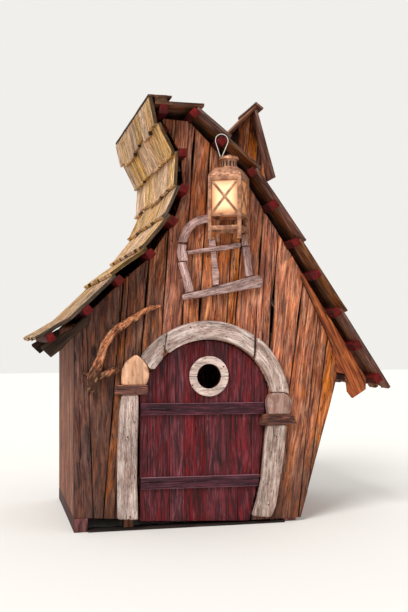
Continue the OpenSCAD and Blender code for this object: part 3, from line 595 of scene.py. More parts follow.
# Pine planks with an oxblood stain that has worn through to lilac along the fibres
DOOR_BOARDS = Timber(
    "worn_oxblood_planks", Slot.DOOR, "#220a0e", "#4c151b", "#84383a", figure_mm=30, crack_share=0.45,
    rim="#8a4234", rim_mm=1.8, rim_strength=0.7, tone_spread=0.3, relief_mm=1.3, roughness=(0.5, 0.78),
    patches=(Patch("#7c545e", 9, 110, 0.22, 0.45), Patch("#741f22", 26, 260, 0.35, 0.6),
             Patch("#18080b", 14, 240, 0.34, 0.7)))
# Ledges of the same wood: dark, with pale edges that are a painted highlight
DOOR_LEDGES = Timber(
    "oxblood_ledge_painted_highlight", Slot.DOOR, "#1c080e", "#38101a", "#5c2430", crack_share=0.4, rim="#9a6c74",
    rim_mm=2.5, rim_strength=0.75, tone_spread=0.3, relief_mm=1.8, roughness=(0.5, 0.78),
    patches=(Patch("#6c4654", 8, 90, 0.2, 0.4), Patch("#14070a", 14, 200, 0.3, 0.6)))
# Lime wood, planed once and bleached to a greyish cream
RING_WOOD = Timber("bleached_lime_ring", Slot.RING, "#a08a7e", "#cbb4a8", "#e6d6ca", crack_share=0.3,
                   rim_strength=0.0, tone_spread=0.05, relief_mm=0.8,
                   patches=(Patch("#765e50", 16, 70, 0.3, 0.6),))
# Washed-up trunks: chalky grey-pink, with open fibres and short dark checks
DRIFTWOOD = Timber(
    "chalky_driftwood", Slot.DRIFTWOOD, "#7c645a", "#b89f93", "#dccabf", figure_mm=30, streak_mm=22,
    figure_share=0.2, cracks="#2a1f1b", crack_mm=14, crack_width=0.012, crack_share=0.6, rim_strength=0.0,
    tone_spread=0.34, relief_mm=1.4,
    patches=(Patch("#8c6c60", 50, 160, 0.3, 0.6), Patch("#33241f", 4, 36, 0.2, 0.85, 0.04),
             Patch("#e6d8ce", 20, 160, 0.24, 0.5)))
# A split branch: dark brown inside, orange where the bark has just come off
DRIFTWOOD_BROWN = Timber(
    "split_driftwood_bar", Slot.DRIFTWOOD, "#20120f", "#5c3a30", "#96685a", figure_mm=20, crack_share=0.6,
    rim="#c88a64", rim_mm=2.2, rim_strength=0.8, tone_spread=0.4, relief_mm=2,
    patches=(Patch("#3a2226", 16, 120, 0.4, 0.7), Patch("#b0622c", 8, 120, 0.2, 0.6)))
# A fresh cut through a trunk: tan, smooth
DRIFTWOOD_TAN = Timber("cut_driftwood", Slot.TAN, "#b48866", "#cfa07c", "#dcb292", crack_share=0.2,
                       rim_strength=0.0, tone_spread=0.1, relief_mm=0.8,
                       patches=(Patch("#8e5c42", 40, 80, 0.3, 0.6),))
# The swollen end of a trunk: pinkish brown with chalky patches
DRIFTWOOD_PINK = Timber("knot_of_driftwood", Slot.TAN, "#5c3a30", "#a07868", "#c8a292", crack_share=0.5,
                        rim_strength=0.0, relief_mm=1.8, patches=(Patch("#c4aa9e", 40, 90, 0.3, 0.6),))
# Thin branches, long in the water: mauve-grey, with brown where they are rubbed; the darker rim along their
# sides is painted shade
DRIFTWOOD_MAUVE = Timber(
    "mauve_driftwood", Slot.MAUVE, "#614740", "#b4918a", "#d8bcb3", figure_mm=24, streak_mm=16,
    crack_share=0.5, rim="#5a3e36", rim_mm=3, rim_strength=0.4, relief_mm=1.8,
    patches=(Patch("#a8704c", 20, 120, 0.26, 0.45), Patch("#33221e", 6, 50, 0.24, 0.8)))
# Barked branch: orange-brown bark in dark flakes, scuffed to tan in patches
BRANCH_WOOD = Timber("barked_branch", Slot.BRANCH, "#301c12", "#9c5c3c", "#d2986a", figure_mm=16,
                     fibre_mm=4, crack_share=0.7, rim_strength=0.0, relief_mm=3,
                     patches=(Patch("#2a1812", 40, 90, 0.36, 0.85, grime_and_shade=0.3),
                              Patch("#c89a72", 30, 70, 0.2, 0.7)))
# Forged iron under brown rust
IRON = Metal("rusty_forged_iron", Slot.IRON, "#3a3532", "#5a3a28", metallic=0.6, roughness=(0.5, 0.8))
# The lantern's vent slots: black, dull blocks, painted shade in the openings
VENT_SHADE = Metal("vent_slot_painted_shade", Slot.IRON, "#1a1210", "#2e1d15", metallic=0.0, roughness=(0.8, 0.95))
# Copper sheet, brown with age: the tarnish takes most of its shine
COPPER = Metal("aged_copper_sheet", Slot.COPPER, "#b48060", "#80543e", metallic=0.4,
               roughness=(0.4, 0.65))
# Glass with a frosted face, painted glowing a pale white that turns orange-brown towards each rim: painted
# light and painted shade, with no flame built behind it
PAINTED_GLOW_GLASS = GlowPaintedGlass("frosted_glass_painted_glow", Slot.GLASS, "#f2cfa0", "#c98a58")
# Cotton, laid from strands: dull and off-white
CORD = TwistedCord("bleached_cotton_cord", Slot.CORD, "#f2efe6", "#b8b2a6")


# Timber work

@dataclass(frozen=True)
class Grain:
    """The way a straight timber runs: along its fibres, and out of the face that shows."""

    origin: Vector
    out: Vector
    along: Vector

    def axes(self, point: Vector) -> tuple[Vector, Vector, Vector]:
        """Returns the directions across, out and along at a point."""
        return self.along.cross(self.out), self.out, self.along

    def local(self, point: Vector) -> Vector:
        """Returns a point's distances across, out and along."""
        offset = point - self.origin
        return Vector([offset.dot(axis) for axis in self.axes(point)])


@dataclass(frozen=True)
class BentGrain(Grain):
    """The way a curved timber runs round its origin. Its along is the direction at angle 0."""

    radius: float = 1.0

    def axes(self, point: Vector) -> tuple[Vector, Vector, Vector]:
        """Finds the directions at a point.

        Args:
            point: The point.

        Returns:
            The directions across, which is away from the origin, out and along.
        """
        spoke = point - self.origin
        spoke = (spoke - self.out * spoke.dot(self.out)).normalized()
        return spoke, self.out, self.out.cross(spoke)

    def local(self, point: Vector) -> Vector:
        """Unrolls a point's place at the mean radius.

        Args:
            point: The point.

        Returns:
            Its distances across, out and along.
        """
        offset = point - self.origin
        depth = offset.dot(self.out)
        spoke = offset - self.out * depth
        side = self.out.cross(self.along)
        turn = math.atan2(spoke.dot(side), spoke.dot(self.along))
        return Vector((spoke.length - self.radius, depth, turn * self.radius))


def solids(node: str) -> list[Mesh]:
    """Takes a CAD node apart.

    Args:
        node: The node's name.

    Returns:
        Its closed solids, welded, each flat face in one.
    """
    whole = bmesh.new()
    whole.from_mesh(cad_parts[node].data)
    bmesh.ops.remove_doubles(whole, verts=whole.verts, dist=WELD)
    bmesh.ops.dissolve_limit(whole, angle_limit=FLAT, verts=whole.verts, edges=whole.edges)
    whole.verts.index_update()
    found: list[Mesh] = []
    seen: set[int] = set()
    for start in whole.verts:
        if start.index in seen:
            continue
        group, waiting = {start.index}, [start]
        while waiting:
            for edge in waiting.pop().link_edges:
                for vert in edge.verts:
                    if vert.index not in group:
                        group.add(vert.index)
                        waiting.append(vert)
        seen |= group
        part = whole.copy()
        bmesh.ops.delete(part, geom=[v for v in part.verts if v.index not in group], context="VERTS")
        found.append(part)
    whole.free()
    return found


def cuboid(place: Matrix, edge: float = 0.0) -> Mesh:
    """Makes a rectangular strip or block.

    Args:
        place: Turns a cube of side 1 into it.
        edge: Width of its rounded edges, or 0 for edges that are worked later.

    Returns:
        The block.
    """
    block = bmesh.new()
    bmesh.ops.create_cube(block, size=1.0)
    bmesh.ops.transform(block, matrix=place, verts=block.verts)
    if edge:
        bmesh.ops.bevel(block, geom=block.edges[:], offset=edge, offset_type="OFFSET", affect="EDGES",
                        segments=2, profile=0.5)
    return block


def cut_along(solid: Mesh, point: Vector, normal: Vector, off: bool = False) -> None:
    """Cuts a solid's faces along a plane.

    Args:
        solid: The solid.
        point: A point of the plane.
        normal: The plane's normal.
        off: Whether what lies beyond the plane is sawn off and the cut closed.
    """
    geometry = solid.verts[:] + solid.edges[:] + solid.faces[:]
    bmesh.ops.bisect_plane(solid, geom=geometry, dist=WELD if off else 4 * WELD, plane_co=point,
                           plane_no=normal, clear_outer=off)
    rim = [edge for edge in solid.edges if edge.is_boundary] if off else []
    if rim:
        bmesh.ops.holes_fill(solid, edges=rim, sides=0)


@dataclass(frozen=True)
class Seam:
    """A seam between two boards: its place at the foot, how far it leans for each metre, and its gap.

    Where it gapes, the boards stand apart by gape at gape_height, over gape_length.
    """

    at: float
    lean: float = 0.0
    gap: float = 0.004
    gape_height: float = 0.0
    gape_length: float = 0.0
    gape: float = 0.0

    def plane(self, axis: Vector, aside: float) -> tuple[Vector, Vector]:
        """Returns a point and the normal of the seam's plane, moved aside along the axis."""
        return axis * (self.at + aside), (axis - Z_AXIS * self.lean).normalized()

    def opened(self, point: Vector, axis: Vector) -> Vector:
        """Finds how far a board's edge stands back where the seam gapes.

        Args:
            point: A point of the board.
            axis: The direction square to the seam.

        Returns:
            How far the point moves, which is nothing away from the seam.
        """
        if not self.gape:
            return Vector()
        off = point.dot(axis) - self.at - self.lean * point.z
        taper = 1 - (2 * (point.z - self.gape_height) / self.gape_length) ** 2
        if taper <= 0 or abs(off) > GAPE_WIDTH:
            return Vector()
        return axis * math.copysign(self.gape / 2 * taper, off)


def upright(*places: float, gap: float = 0.004) -> tuple[Seam, ...]:
    """Returns upright seams at the given places. A gap below 0 lets the boards overlap."""
    return tuple(Seam(place, 0.0, gap) for place in places)


def edge_back(seams: Sequence[Seam], axis: Vector, point: Vector) -> Vector:
    """Returns how far a board's edge stands back from the gaping seams beside it."""
    return sum((seam.opened(point, axis) for seam in seams), Vector())


def sawn(solid: Mesh, across: Vector, seams: Sequence[Seam]) -> list[tuple[int, Mesh]]:
    """Saws a solid into boards.

    Args:
        solid: The solid, which stays whole.
        across: The direction square to the cuts.
        seams: The cuts, in order along it.

    Returns:
        The boards, each with its number from the first seam on.
    """
    boards = []
    for number in range(len(seams) + 1):
        board = solid.copy()
        if number < len(seams):
            cut_along(board, *seams[number].plane(across, -seams[number].gap / 2), off=True)
        if number and board.faces:
            point, normal = seams[number - 1].plane(across, seams[number - 1].gap / 2)
            cut_along(board, point, -normal, off=True)
        if board.faces:
            boards.append((number, board))
    return boards


def read_grain(solid: Mesh, toward: Vector, along: Vector | None = None) -> Grain:
    """Finds which way a timber runs.

    Args:
        solid: The timber.
        toward: The side on which its face shows.
        along: Direction of its fibres, or None for its longest edge.

    Returns:
        Its grain, from the corner of the bounding box.
    """
    solid.normal_update()
    faces = sorted(solid.faces, key=lambda face: -face.calc_area())
    facing = [face for face in faces if face.normal.dot(toward) > 0.6] or faces[:2]
    out = facing[0].normal.copy()
    if along is None:
        longest = max(solid.edges, key=lambda edge: edge.calc_length())
        along = longest.verts[1].co - longest.verts[0].co
    run = along - out * along.dot(out)
    if run.length < 0.2 * along.length:
        run = Z_AXIS - out * out.z if abs(out.z) < 0.8 else X_AXIS - out * out.x
    low = Vector([min(v.co[i] for v in solid.verts) for i in range(3)])
    return Grain(low, out, run.normalized())


def remeshed(solid: Mesh, voxel: float) -> Mesh:
    """Gives a solid an even mesh of small squares, for rounding and carving.

    Args:
        solid: The solid, whose faces become triangles.
        voxel: Size of the squares.

    Returns:
        The new mesh.
    """
    mesh = bpy.data.meshes.new("blank")
    bmesh.ops.triangulate(solid, faces=solid.faces)
    solid.to_mesh(mesh)
    blank = bpy.data.objects.new("blank", mesh)
    bpy.context.scene.collection.objects.link(blank)
    modifier = blank.modifiers.new("even", "REMESH")
    modifier.mode, modifier.voxel_size = "VOXEL", voxel
    result = bmesh.new()
    result.from_object(blank, bpy.context.evaluated_depsgraph_get())
    bpy.data.objects.remove(blank)
    bpy.data.meshes.remove(mesh)
    return result


@dataclass(frozen=True)
class Split:
    """A drying split in a timber's face: its place across and along, its length, and half its width."""

    across: float
    along: float
    length: float
    half: float

    def openness(self, place: Vector) -> float:
        """Finds how far a point of the face sinks into the split.

        Args:
            place: The point's distances across, out and along.

        Returns:
            1 in the middle of the split, 0 outside it.
        """
        near = 1 - abs(place.x - self.across) / self.half
        taper = min(1.0, max(0.0, (self.length / 2 - abs(place.z - self.along)) / SPLIT_TAPER))
        return max(0.0, near) * taper


@dataclass(frozen=True)
class Worked:
    """How a timber's surface is worked after it is sawn to size. Lengths are in metres.

    Its faces are cut into columns and rows, or get an even mesh of squares as large as voxel. They are
    carved with lumps, ridges along the fibres and splits. Its sides wander, a shake is ragged at its lower
    end and may lift there, and a board stands back by up to recess.
    """

    edge: float = 0.003
    edge_steps: int = 2
    column: float = 0.03
    row: float = 0.07
    voxel: float = 0.0
    lumps: float = 0.0012
    lump_size: float = 0.12
    ridges: float = 0.0005
    ridge_pitch: float = 0.018
    splits: int = 1
    split_depth: float = 0.008
    wander: float = 0.0025
    wander_size: float = 0.35
    ragged: float = 0.0
    lift: float = 0.0
    recess: float = 0.0

    def shape(self, solid: Mesh, grain: Grain, rng: Random, joint: Callable[[Vector], bool] | None = None,
              opened: Callable[[Vector], Vector] | None = None) -> Mesh:
        """Rounds a timber's edges, then carves its face with lumps, ridges, splits and a splintered end.

        Args:
            solid: The timber as sawn.
            grain: The way it runs.
            rng: Source of its own irregularities.
            joint: Tells whether a point lies where two pieces of one board meet.
            opened: How far a point stands back from a gaping seam.

        Returns:
            The worked timber, whose vertex layers grain and reach tell where each point lies in it.
        """
        bmesh.ops.dissolve_degenerate(solid, dist=self.edge * 0.8, edges=solid.edges)
        sides = self.sides(solid, grain)
        sharp = [e for e in solid.edges if e.is_manifold and e.calc_face_angle() > SHARP
                 and not (joint and all(joint(vert.co) for vert in e.verts))]
        if sharp:
            bmesh.ops.bevel(solid, geom=sharp, offset=self.edge, offset_type="OFFSET", affect="EDGES",
                            segments=self.edge_steps, profile=0.5, clamp_overlap=True)
        places = [grain.local(vert.co) for vert in solid.verts]
        low, high = (Vector([pick(p[i] for p in places) for i in range(3)]) for pick in (min, max))
        shift = Vector([rng.uniform(0, 40) for _ in range(3)])
        set_back = grain.out * -rng.uniform(0, self.recess)
        half = 1.4 * self.voxel if self.voxel else min(0.004, self.column / 3)
        splits = [Split(rng.uniform(low.x + SPLIT_MARGIN, high.x - SPLIT_MARGIN),
                        rng.uniform(low.z, high.z), rng.uniform(*SPLIT_SHARE) * (high.z - low.z), half)
                  for _ in range(self.splits)]
        if self.voxel:
            solid = remeshed(solid, self.voxel)
        else:
            self.rule(solid, grain, low, high, splits, half)
        self.carve(solid, grain, low, high, sides, splits, shift)
        for vert in solid.verts:
            vert.co += set_back + (opened(vert.co) if opened else Vector())
        return solid

    def sides(self, solid: Mesh, grain: Grain) -> list[tuple[Vector, Vector]]:
        """Finds the long sides of a straight timber.

        Args:
            solid: The timber as sawn.
            grain: The way it runs.

        Returns:
            A point and the normal of each side, or nothing for a bent timber.
        """
        if isinstance(grain, BentGrain):
            return []
        across = grain.axes(grain.origin)[0]
        solid.normal_update()
        faces = [face for face in solid.faces if abs(face.normal.dot(across)) > 0.7]
        largest = max((face.calc_area() for face in faces), default=0.0)
        return [(face.calc_center_median(), face.normal.copy()) for face in faces
                if face.calc_area() > 0.3 * largest]

    def rule(self, solid: Mesh, grain: Grain, low: Vector, high: Vector,
             splits: list[Split], half: float) -> None:
        """Cuts a board's faces into rows and columns, with three close columns for each split.

        Args:
            solid: The board.
            grain: The way it runs.
            low: Its least distances across, out and along.
            high: Its greatest.
            splits: Its splits.
            half: Half the width of a split.
        """
        across = grain.axes(grain.origin)[0]
        steps = [max(1, round((high[axis] - low[axis]) / pitch))
                 for axis, pitch in ((0, self.column), (2, self.row))]
        columns = [low.x + (high.x - low.x) * k / steps[0] for k in range(1, steps[0])]
        columns = [c for c in columns if all(abs(c - split.across) > 1.5 * half for split in splits)]
        columns += [split.across + side * half for split in splits for side in (-1, 0, 1)]
        planes = [(across, column) for column in columns]
        planes += [(grain.along, low.z + (high.z - low.z) * k / steps[1]) for k in range(1, steps[1])]
        for normal, distance in planes:
            cut_along(solid, grain.origin + normal * distance, normal)

    def carve(self, solid: Mesh, grain: Grain, low: Vector, high: Vector,
              sides: list[tuple[Vector, Vector]], splits: list[Split], shift: Vector) -> None:
        """Moves each point of a timber's mesh by the marks of its making and its age.

        Args:
            solid: The timber.
            grain: The way it runs.
            low: Its least distances across, out and along.
            high: Its greatest.
            sides: A point and the normal of each long side.
            splits: Its splits.
            shift: Where its patterns start.
        """
        layers = solid.verts.layers.float_vector
        within, reach = layers.new("grain"), layers.new("reach")
        length = max(high.z - low.z, 1 * MM)
        solid.normal_update()
        for vert in solid.verts:
            place = grain.local(vert.co)
            side = min((abs((vert.co - point).dot(normal)) for point, normal in sides),
                       default=min(place.x - low.x, high.x - place.x))
            vert[within] = place + shift
            vert[reach] = Vector((side, min(place.z - low.z, high.z - place.z), 0))
            v, w, u = place + shift
            across, out, along = grain.axes(vert.co)
            height = self.lumps * noise.noise(Vector((v, w, u * 0.5)) / self.lump_size)
            if self.ridges:
                height += self.ridges * noise.noise(
                    Vector((v / self.ridge_pitch, w / self.ridge_pitch, u / (self.ridge_pitch * 14))))
            for split in splits:
                height -= self.split_depth * split.openness(place) * abs(vert.normal.dot(out))
            move = vert.normal * height
            sway = noise.noise(vert.co / self.wander_size + shift) * self.wander
            share = (place.z - low.z) / length
            if self.ragged:
                splinter = 0.5 + 0.5 * noise.noise(Vector((v / SPLINTER_WIDTH, 0.0, 3.0)))
                near_end = min(1.0, max(0.0, 1 - (high.z - place.z) / SPLINTER_REACH))
                move -= along * self.ragged * splinter * near_end ** 2
            vert.co += move + across * sway + out * self.lift * max(0.0, share) ** 3


class Bench:
    """Gathers worked timbers and joins them into one piece."""

    def __init__(self) -> None:
        """Clears the bench."""
        self.points: list[Vector] = []
        self.faces: list[list[int]] = []
        self.vectors: dict[str, list[float]] = {"grain": [], "tone": [], "reach": []}

    def lay(self, solid: Mesh, tone: tuple[float, float] = (0.5, 0.5),
            grime_and_shade: Callable[[Vector], float] | None = None) -> None:
        """Adds a timber to the piece.

        Args:
            solid: The worked timber, which is used up.
            tone: Its shade, from 0 for dark to 1 for light, and its warmth, from 0 for grey to 1 for
                orange.
            grime_and_shade: How dirty it is at a point, with any painted shade, from 0 to 1.
        """
        start = len(self.points)
        within, reach = (solid.verts.layers.float_vector.get(label) for label in ("grain", "reach"))
        solid.verts.index_update()
        for vert in solid.verts:
            self.points.append(vert.co.copy())
            self.vectors["grain"].extend(vert[within] if within else vert.co)
            self.vectors["reach"].extend(vert[reach] if reach else (0.1, 0.1, 0.0))
            self.vectors["tone"].extend((*tone, grime_and_shade(vert.co) if grime_and_shade else 0.0))
        self.faces.extend([start + v.index for v in face.verts] for face in solid.faces)
        solid.free()

    def piece(self, name: str, finish: Finish, body: Body, nodes: Sequence[str] = ()) -> Piece:
        """Joins what lies on the bench.

        Args:
            name: The piece's name.
            finish: Its surface.
            body: The CAD body that it rides on.
            nodes: The CAD nodes that it stands for.

        Returns:
            The finished object.
        """
        mesh = bpy.data.meshes.new(name)
        mesh.from_pydata(self.points, [], self.faces)
        for label, values in self.vectors.items():
            mesh.attributes.new(label, "FLOAT_VECTOR", "POINT").data.foreach_set("vector", values)
        mesh.validate()
        mesh.shade_smooth()
        mesh.set_sharp_from_angle(angle=CREASE)
        mesh.materials.append(finish.material())
        made = bpy.data.objects.new(name, mesh)
        bpy.context.scene.collection.objects.link(made)
        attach(made, body.value)
        if nodes:
            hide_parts(*nodes)
        LOG.info("%s: %d faces, %s", name, len(self.faces), finish.name)
        return made


@dataclass
class Assembly:
    """A part of the hut that is built by itself."""

    seed: int = 1
    body: Body = Body.HUT

    def dress(self, node: str, finish: Finish, worked: Worked, toward: Vector, along: Vector | None = None,
              seams: Sequence[Seam] = (), seam_axis: Vector = X_AXIS, tones: Tones = (),
              grime_and_shade: Callable[[Vector], float] | None = None, bend: BentGrain | None = None,
              family: str = "", joint: Callable[[Vector], bool] | None = None) -> Piece:
        """Works every solid of a CAD node and joins them into the piece that stands for it.

        Args:
            node: The CAD node.
            finish: Its surface.
            worked: How its timbers are worked.
            toward: The side on which its face shows.
            along: Direction of the fibres, or None for each timber's longest edge.
            seams: Where its solids are sawn into boards.
            seam_axis: The direction square to the seams.
            tones: The boards' shades and warmths by number, or none for ones drawn at random.
            grime_and_shade: How dirty it is at a point, with any painted shade, from 0 to 1.
            bend: The grain of a curved timber.
            family: Name of the wall whose boards run on over several nodes, or none.
            joint: Tells whether a point lies where two pieces of one board meet.

        Returns:
            The finished object.
        """
        bench = Bench()
        number = 0
        for solid in solids(node):
            for index, board in (sawn(solid, seam_axis, seams) if seams else [(number, solid)]):
                rng = Random(f"{family or node} {index} {self.seed}")
                grain = bend or read_grain(board, toward, along)
                opened = None
                if seams:
                    beside = seams[max(0, index - 1):index + 1]
                    lean = sum(seam.lean for seam in beside) / len(beside)
                    grain = Grain(Vector(), grain.out, (Z_AXIS + seam_axis * lean).normalized())
                    opened = partial(edge_back, beside, seam_axis)
                tone = tones[index % len(tones)] if tones else (rng.random(), rng.random())
                bench.lay(worked.shape(board, grain, rng, joint, opened), tone, grime_and_shade)
                number += 1
        return bench.piece(f"{node}_{finish.slot.value}", finish, self.body, [node])

    def build(self) -> Pieces:
        """Builds the assembly's pieces."""
        raise NotImplementedError


# Sawn beams with worn arrises
ROUGH_BEAM = Worked(edge=0.004, column=0.03, row=0.09, lumps=0.0015, splits=1)
# Slabs of the front, warped and split; those of the other walls lie close
WALL_BOARD = Worked(edge=0.0028, column=0.028, row=0.06, lumps=0.0016, ridges=0.0009, splits=2,
                    split_depth=0.011, wander=0.005, recess=0.004)
CLOSE_BOARD = Worked(edge=0.005, column=0.028, row=0.06, lumps=0.0016, ridges=0.0009, splits=2,
                     split_depth=0.009, wander=0.001)
# Rived shakes: deep grooves down the slope, splintered at the lower end
LEFT_SHAKE = Worked(edge=0.003, column=0.0085, row=0.05, lumps=0.002, ridges=0.0042, ridge_pitch=0.02,
                    splits=1, split_depth=0.012, wander=0.0005, ragged=0.022, lift=0.002)
RIGHT_SHAKE = Worked(edge=0.003, column=0.016, row=0.07, lumps=0.002, ridges=0.002, ridge_pitch=0.024,
                     splits=1, split_depth=0.010, wander=0.0005, ragged=0.016, lift=0.002)
TURRET_SLAB = Worked(edge=0.002, column=0.02, row=0.06, lumps=0.0015, ridges=0.001, splits=1, wander=0.002)
# Planed planks, nearly straight
DOOR_BOARD = Worked(edge=0.0025, column=0.02, row=0.05, lumps=0.001, ridges=0.0007, splits=1,
                    split_depth=0.007, wander=0.0018)
# Driftwood, worn round by the water
WASHED_LOG = Worked(edge=0.014, edge_steps=4, voxel=0.0075, lumps=0.0045, lump_size=0.16, ridges=0.0022,
                    ridge_pitch=0.026, splits=2, split_depth=0.007, wander=0.004)
WASHED_STICK = Worked(edge=0.010, edge_steps=4, voxel=0.005, lumps=0.0035, lump_size=0.08, ridges=0.0014,
                      ridge_pitch=0.018, splits=1, split_depth=0.004, wander=0.003)
WASHED_RING = Worked(edge=0.005, edge_steps=3, voxel=0.005, lumps=0.001, ridges=0.0006, splits=0,
                     wander=0.0)
GNARLED_BRANCH = Worked(edge=0.004, voxel=0.006, lumps=0.009, lump_size=0.055, ridges=0.003,
                        ridge_pitch=0.02, splits=1, split_depth=0.005, wander=0.006, wander_size=0.15)
# Hammered straps and soldered sheet
FORGED = Worked(edge=0.0012, column=0.05, row=0.1, lumps=0.0003, ridges=0.0, splits=0, wander=0.0)
SHEET = Worked(edge=0.0015, column=0.06, row=0.06, lumps=0.0008, lump_size=0.09, ridges=0.0, splits=0,
               wander=0.0)


@dataclass
class Groundwork(Assembly):
    """Sills on the pavement, the plank under the doorway, and the posts that stand on them."""

    def build(self) -> Pieces:
        """Builds sills, threshold and posts."""
        # The threshold's near-black timber is painted shade under the door
        return [self.dress(node, finish, ROUGH_BEAM, -Y_AXIS) for node, finish in (
            ("ground_sills", STAINED_SILL), ("threshold", SHADE_DARK_TIMBER), ("corner_posts", FRAME_TIMBER),
            ("door_posts", FRAME_TIMBER))]


@dataclass
class Walls(Assembly):
    """Upright boards on all four sides, as they were nailed: no two of one width."""

    front_seams: Sequence[Seam] = (
        Seam(-0.788, -0.035, 0.003), Seam(-0.723, 0.086, 0.006), Seam(-0.630, 0.060, 0.003),
        Seam(-0.528, 0.085, 0.007, 1.9, 0.5, 0.014), Seam(-0.342, 0.065, 0.006),
        Seam(-0.185, 0.067, 0.004, 3.0, 0.5, 0.016), Seam(-0.041, 0.065, 0.006, 1.78, 0.3, 0.014),
        Seam(0.195, 0.065, 0.003), Seam(0.250, 0.075, 0.007), Seam(0.452, 0.061, 0.003, 2.26, 0.4, 0.01),
        Seam(0.554, 0.080, 0.006, 1.7, 0.6, 0.024), Seam(0.704, 0.129, 0.004, 1.65, 0.5, 0.014),
        Seam(0.921, 0.102, 0.004), Seam(0.972, 0.139, 0.003))
    # Shades and warmths of the front boards from the left: partly each board's own tone, partly painted
    # shade, which keeps the boards on the left, under the eave, darker
    front_tones: Tones = (
        (0.12, 0.3), (0.1, 0.5), (0.5, 0.8), (0.12, 0.6), (0.42, 0.7), (0.70, 0.5), (0.84, 0.7),
        (0.76, 0.75), (0.88, 0.9), (0.8, 0.6), (0.9, 0.5), (0.95, 0.6), (0.85, 0.65), (0.7, 0.7),
        (0.85, 0.9))
    splits: Sequence[float] = (-0.452, 0.6871)
    jamb_top: float = 0.9751
    jamb_left: float = 0.5
    joint_width: float = 0.0015
    back_seams: Sequence[Seam] = upright(-0.80, -0.61, -0.38, -0.17, 0.10, 0.31, 0.47, 0.72, 0.93,
                                         gap=-0.001)
    side_seams: Sequence[Seam] = upright(0.19, 0.36, 0.58, 0.79, 0.96, 1.19, 1.33, gap=-0.001)
    # Dark shades for the left wall's boards: painted shade on that side
    left_wall_shaded_tones: Tones = ((0.1, 0.5), (0.3, 0.4), (0.15, 0.6), (0.25, 0.5))
    damp_height: float = 0.9
    foot_damp: float = 0.5
    foot_damp_right: float = 1.5
    # Painted shade under the left eave: boards left of eave_right and below eave_top turn darker and
    # greyer, fading in over eave_fade
    eave_shade: float = 0.6
    eave_right: float = 0.1
    eave_top: float = 2.35
    eave_fade: float = 0.7

    def damp_and_eave_shade(self, point: Vector) -> float:
        """Finds how grey and dark a board is: most at its wet foot, and under the left eave, where it is
        painted shade.

        Args:
            point: A point of the board.

        Returns:
            Its dirt with painted shade, from 0 to 1.
        """
        foot = max(0.0, 1 - point.z / self.damp_height)
        wet = self.foot_damp_right if point.x > self.jamb_left else self.foot_damp
        # left and low shape the painted shade under the left eave, which the second term adds
        left, low = (max(0.0, min(1.0, inside / self.eave_fade))
                     for inside in (self.eave_right - point.x, self.eave_top - point.z))
        return min(1.0, wet * foot + self.eave_shade * left * low)

    def joint(self, point: Vector) -> bool:
        """Tells whether a point of the front lies where two pieces of one board meet."""
        return (any(abs(point.x - split) < self.joint_width for split in self.splits)
                or abs(point.z - self.jamb_top) < self.joint_width and point.x > self.jamb_left)

    def build(self) -> Pieces:
        """Builds the front, back and side walls.

        Returns:
            A piece for each CAD node.
        """
        made = [self.dress(f"front_wall_{part}", WALL_BOARDS, WALL_BOARD, -Y_AXIS, Z_AXIS,
                           self.front_seams, tones=self.front_tones, grime_and_shade=self.damp_and_eave_shade, family="front",
                           joint=self.joint)
                for part in ("left", "gable", "jamb", "right")]
        made.append(self.dress("back_wall", WALL_BOARDS, CLOSE_BOARD, Y_AXIS, Z_AXIS, self.back_seams,
                               grime_and_shade=self.damp_and_eave_shade))
        for node, out, tones in (("left_wall", -X_AXIS, self.left_wall_shaded_tones), ("right_wall", X_AXIS, ())):
            made.append(self.dress(node, WALL_BOARDS, CLOSE_BOARD, out, Z_AXIS, self.side_seams, Y_AXIS,
                                   tones))
        return made


@dataclass
class RoofFrame(Assembly):
    """Purlins, eave brackets, the plank under the right slope, the crown board and the purlins' blocks."""

    purlin_tones: Tones = ((0.3, 0.8), (0.5, 0.9), (0.6, 0.7), (0.4, 1.0))
    block_rise: float = 0.066
    block_back: float = 1.465
    block_thickness: float = 0.024

    def blocks(self) -> Piece:
        """Builds the blocks over the back wall that close the gaps between neighbouring purlins.

        Returns:
            The blocks as one piece.
        """
        bench = Bench()
        rng = Random(self.seed)
        centres: list[Vector] = []
        for node, way in (("purlins_left", 1), ("purlins_right", -1)):
            middles = [sum((vert.co for vert in solid.verts), Vector()) / len(solid.verts)
                       for solid in solids(node)]
            centres += sorted(middles, key=lambda middle: way * middle.z)
        for first, second in zip(centres, centres[1:]):
            span = second - first
            span.y = 0
            middle = (first + second) / 2
            block = cuboid(
                Matrix.Translation((middle.x, self.block_back - self.block_thickness / 2, middle.z))
                @ Matrix.Rotation(-math.atan2(span.z, span.x), 4, "Y")
                @ Matrix.Diagonal((span.length, self.block_thickness, self.block_rise, 1)))
            grain = read_grain(block, -Y_AXIS, span.normalized())
            bench.lay(ROUGH_BEAM.shape(block, grain, rng), (rng.random(), rng.random()))
        # The blocks' near-black timber is painted shade under the roof
        return bench.piece("purlin_blocks", SHADE_DARK_TIMBER, self.body)

    def build(self) -> Pieces:
        """Builds the timbers that carry and close the roof.

        Returns:
            A piece for each CAD node, and the blocks.
        """
        return [
            *(self.dress(f"purlins_{side}", PURLINS, ROUGH_BEAM, Z_AXIS, Y_AXIS, tones=self.purlin_tones)
              for side in ("left", "right")),
            self.blocks(),
            # The eave brackets' near-black timber is painted shade under the left eave
            self.dress("eave_brackets", SHADE_DARK_TIMBER, ROUGH_BEAM, -Y_AXIS),
            self.dress("rake_plank", FRESH_PLANK, DOOR_BOARD, -Y_AXIS, tones=((0.2, 0.5),)),
            self.dress("crown_cap", CROWN_BOARD, RIGHT_SHAKE, Z_AXIS, Y_AXIS),
        ]


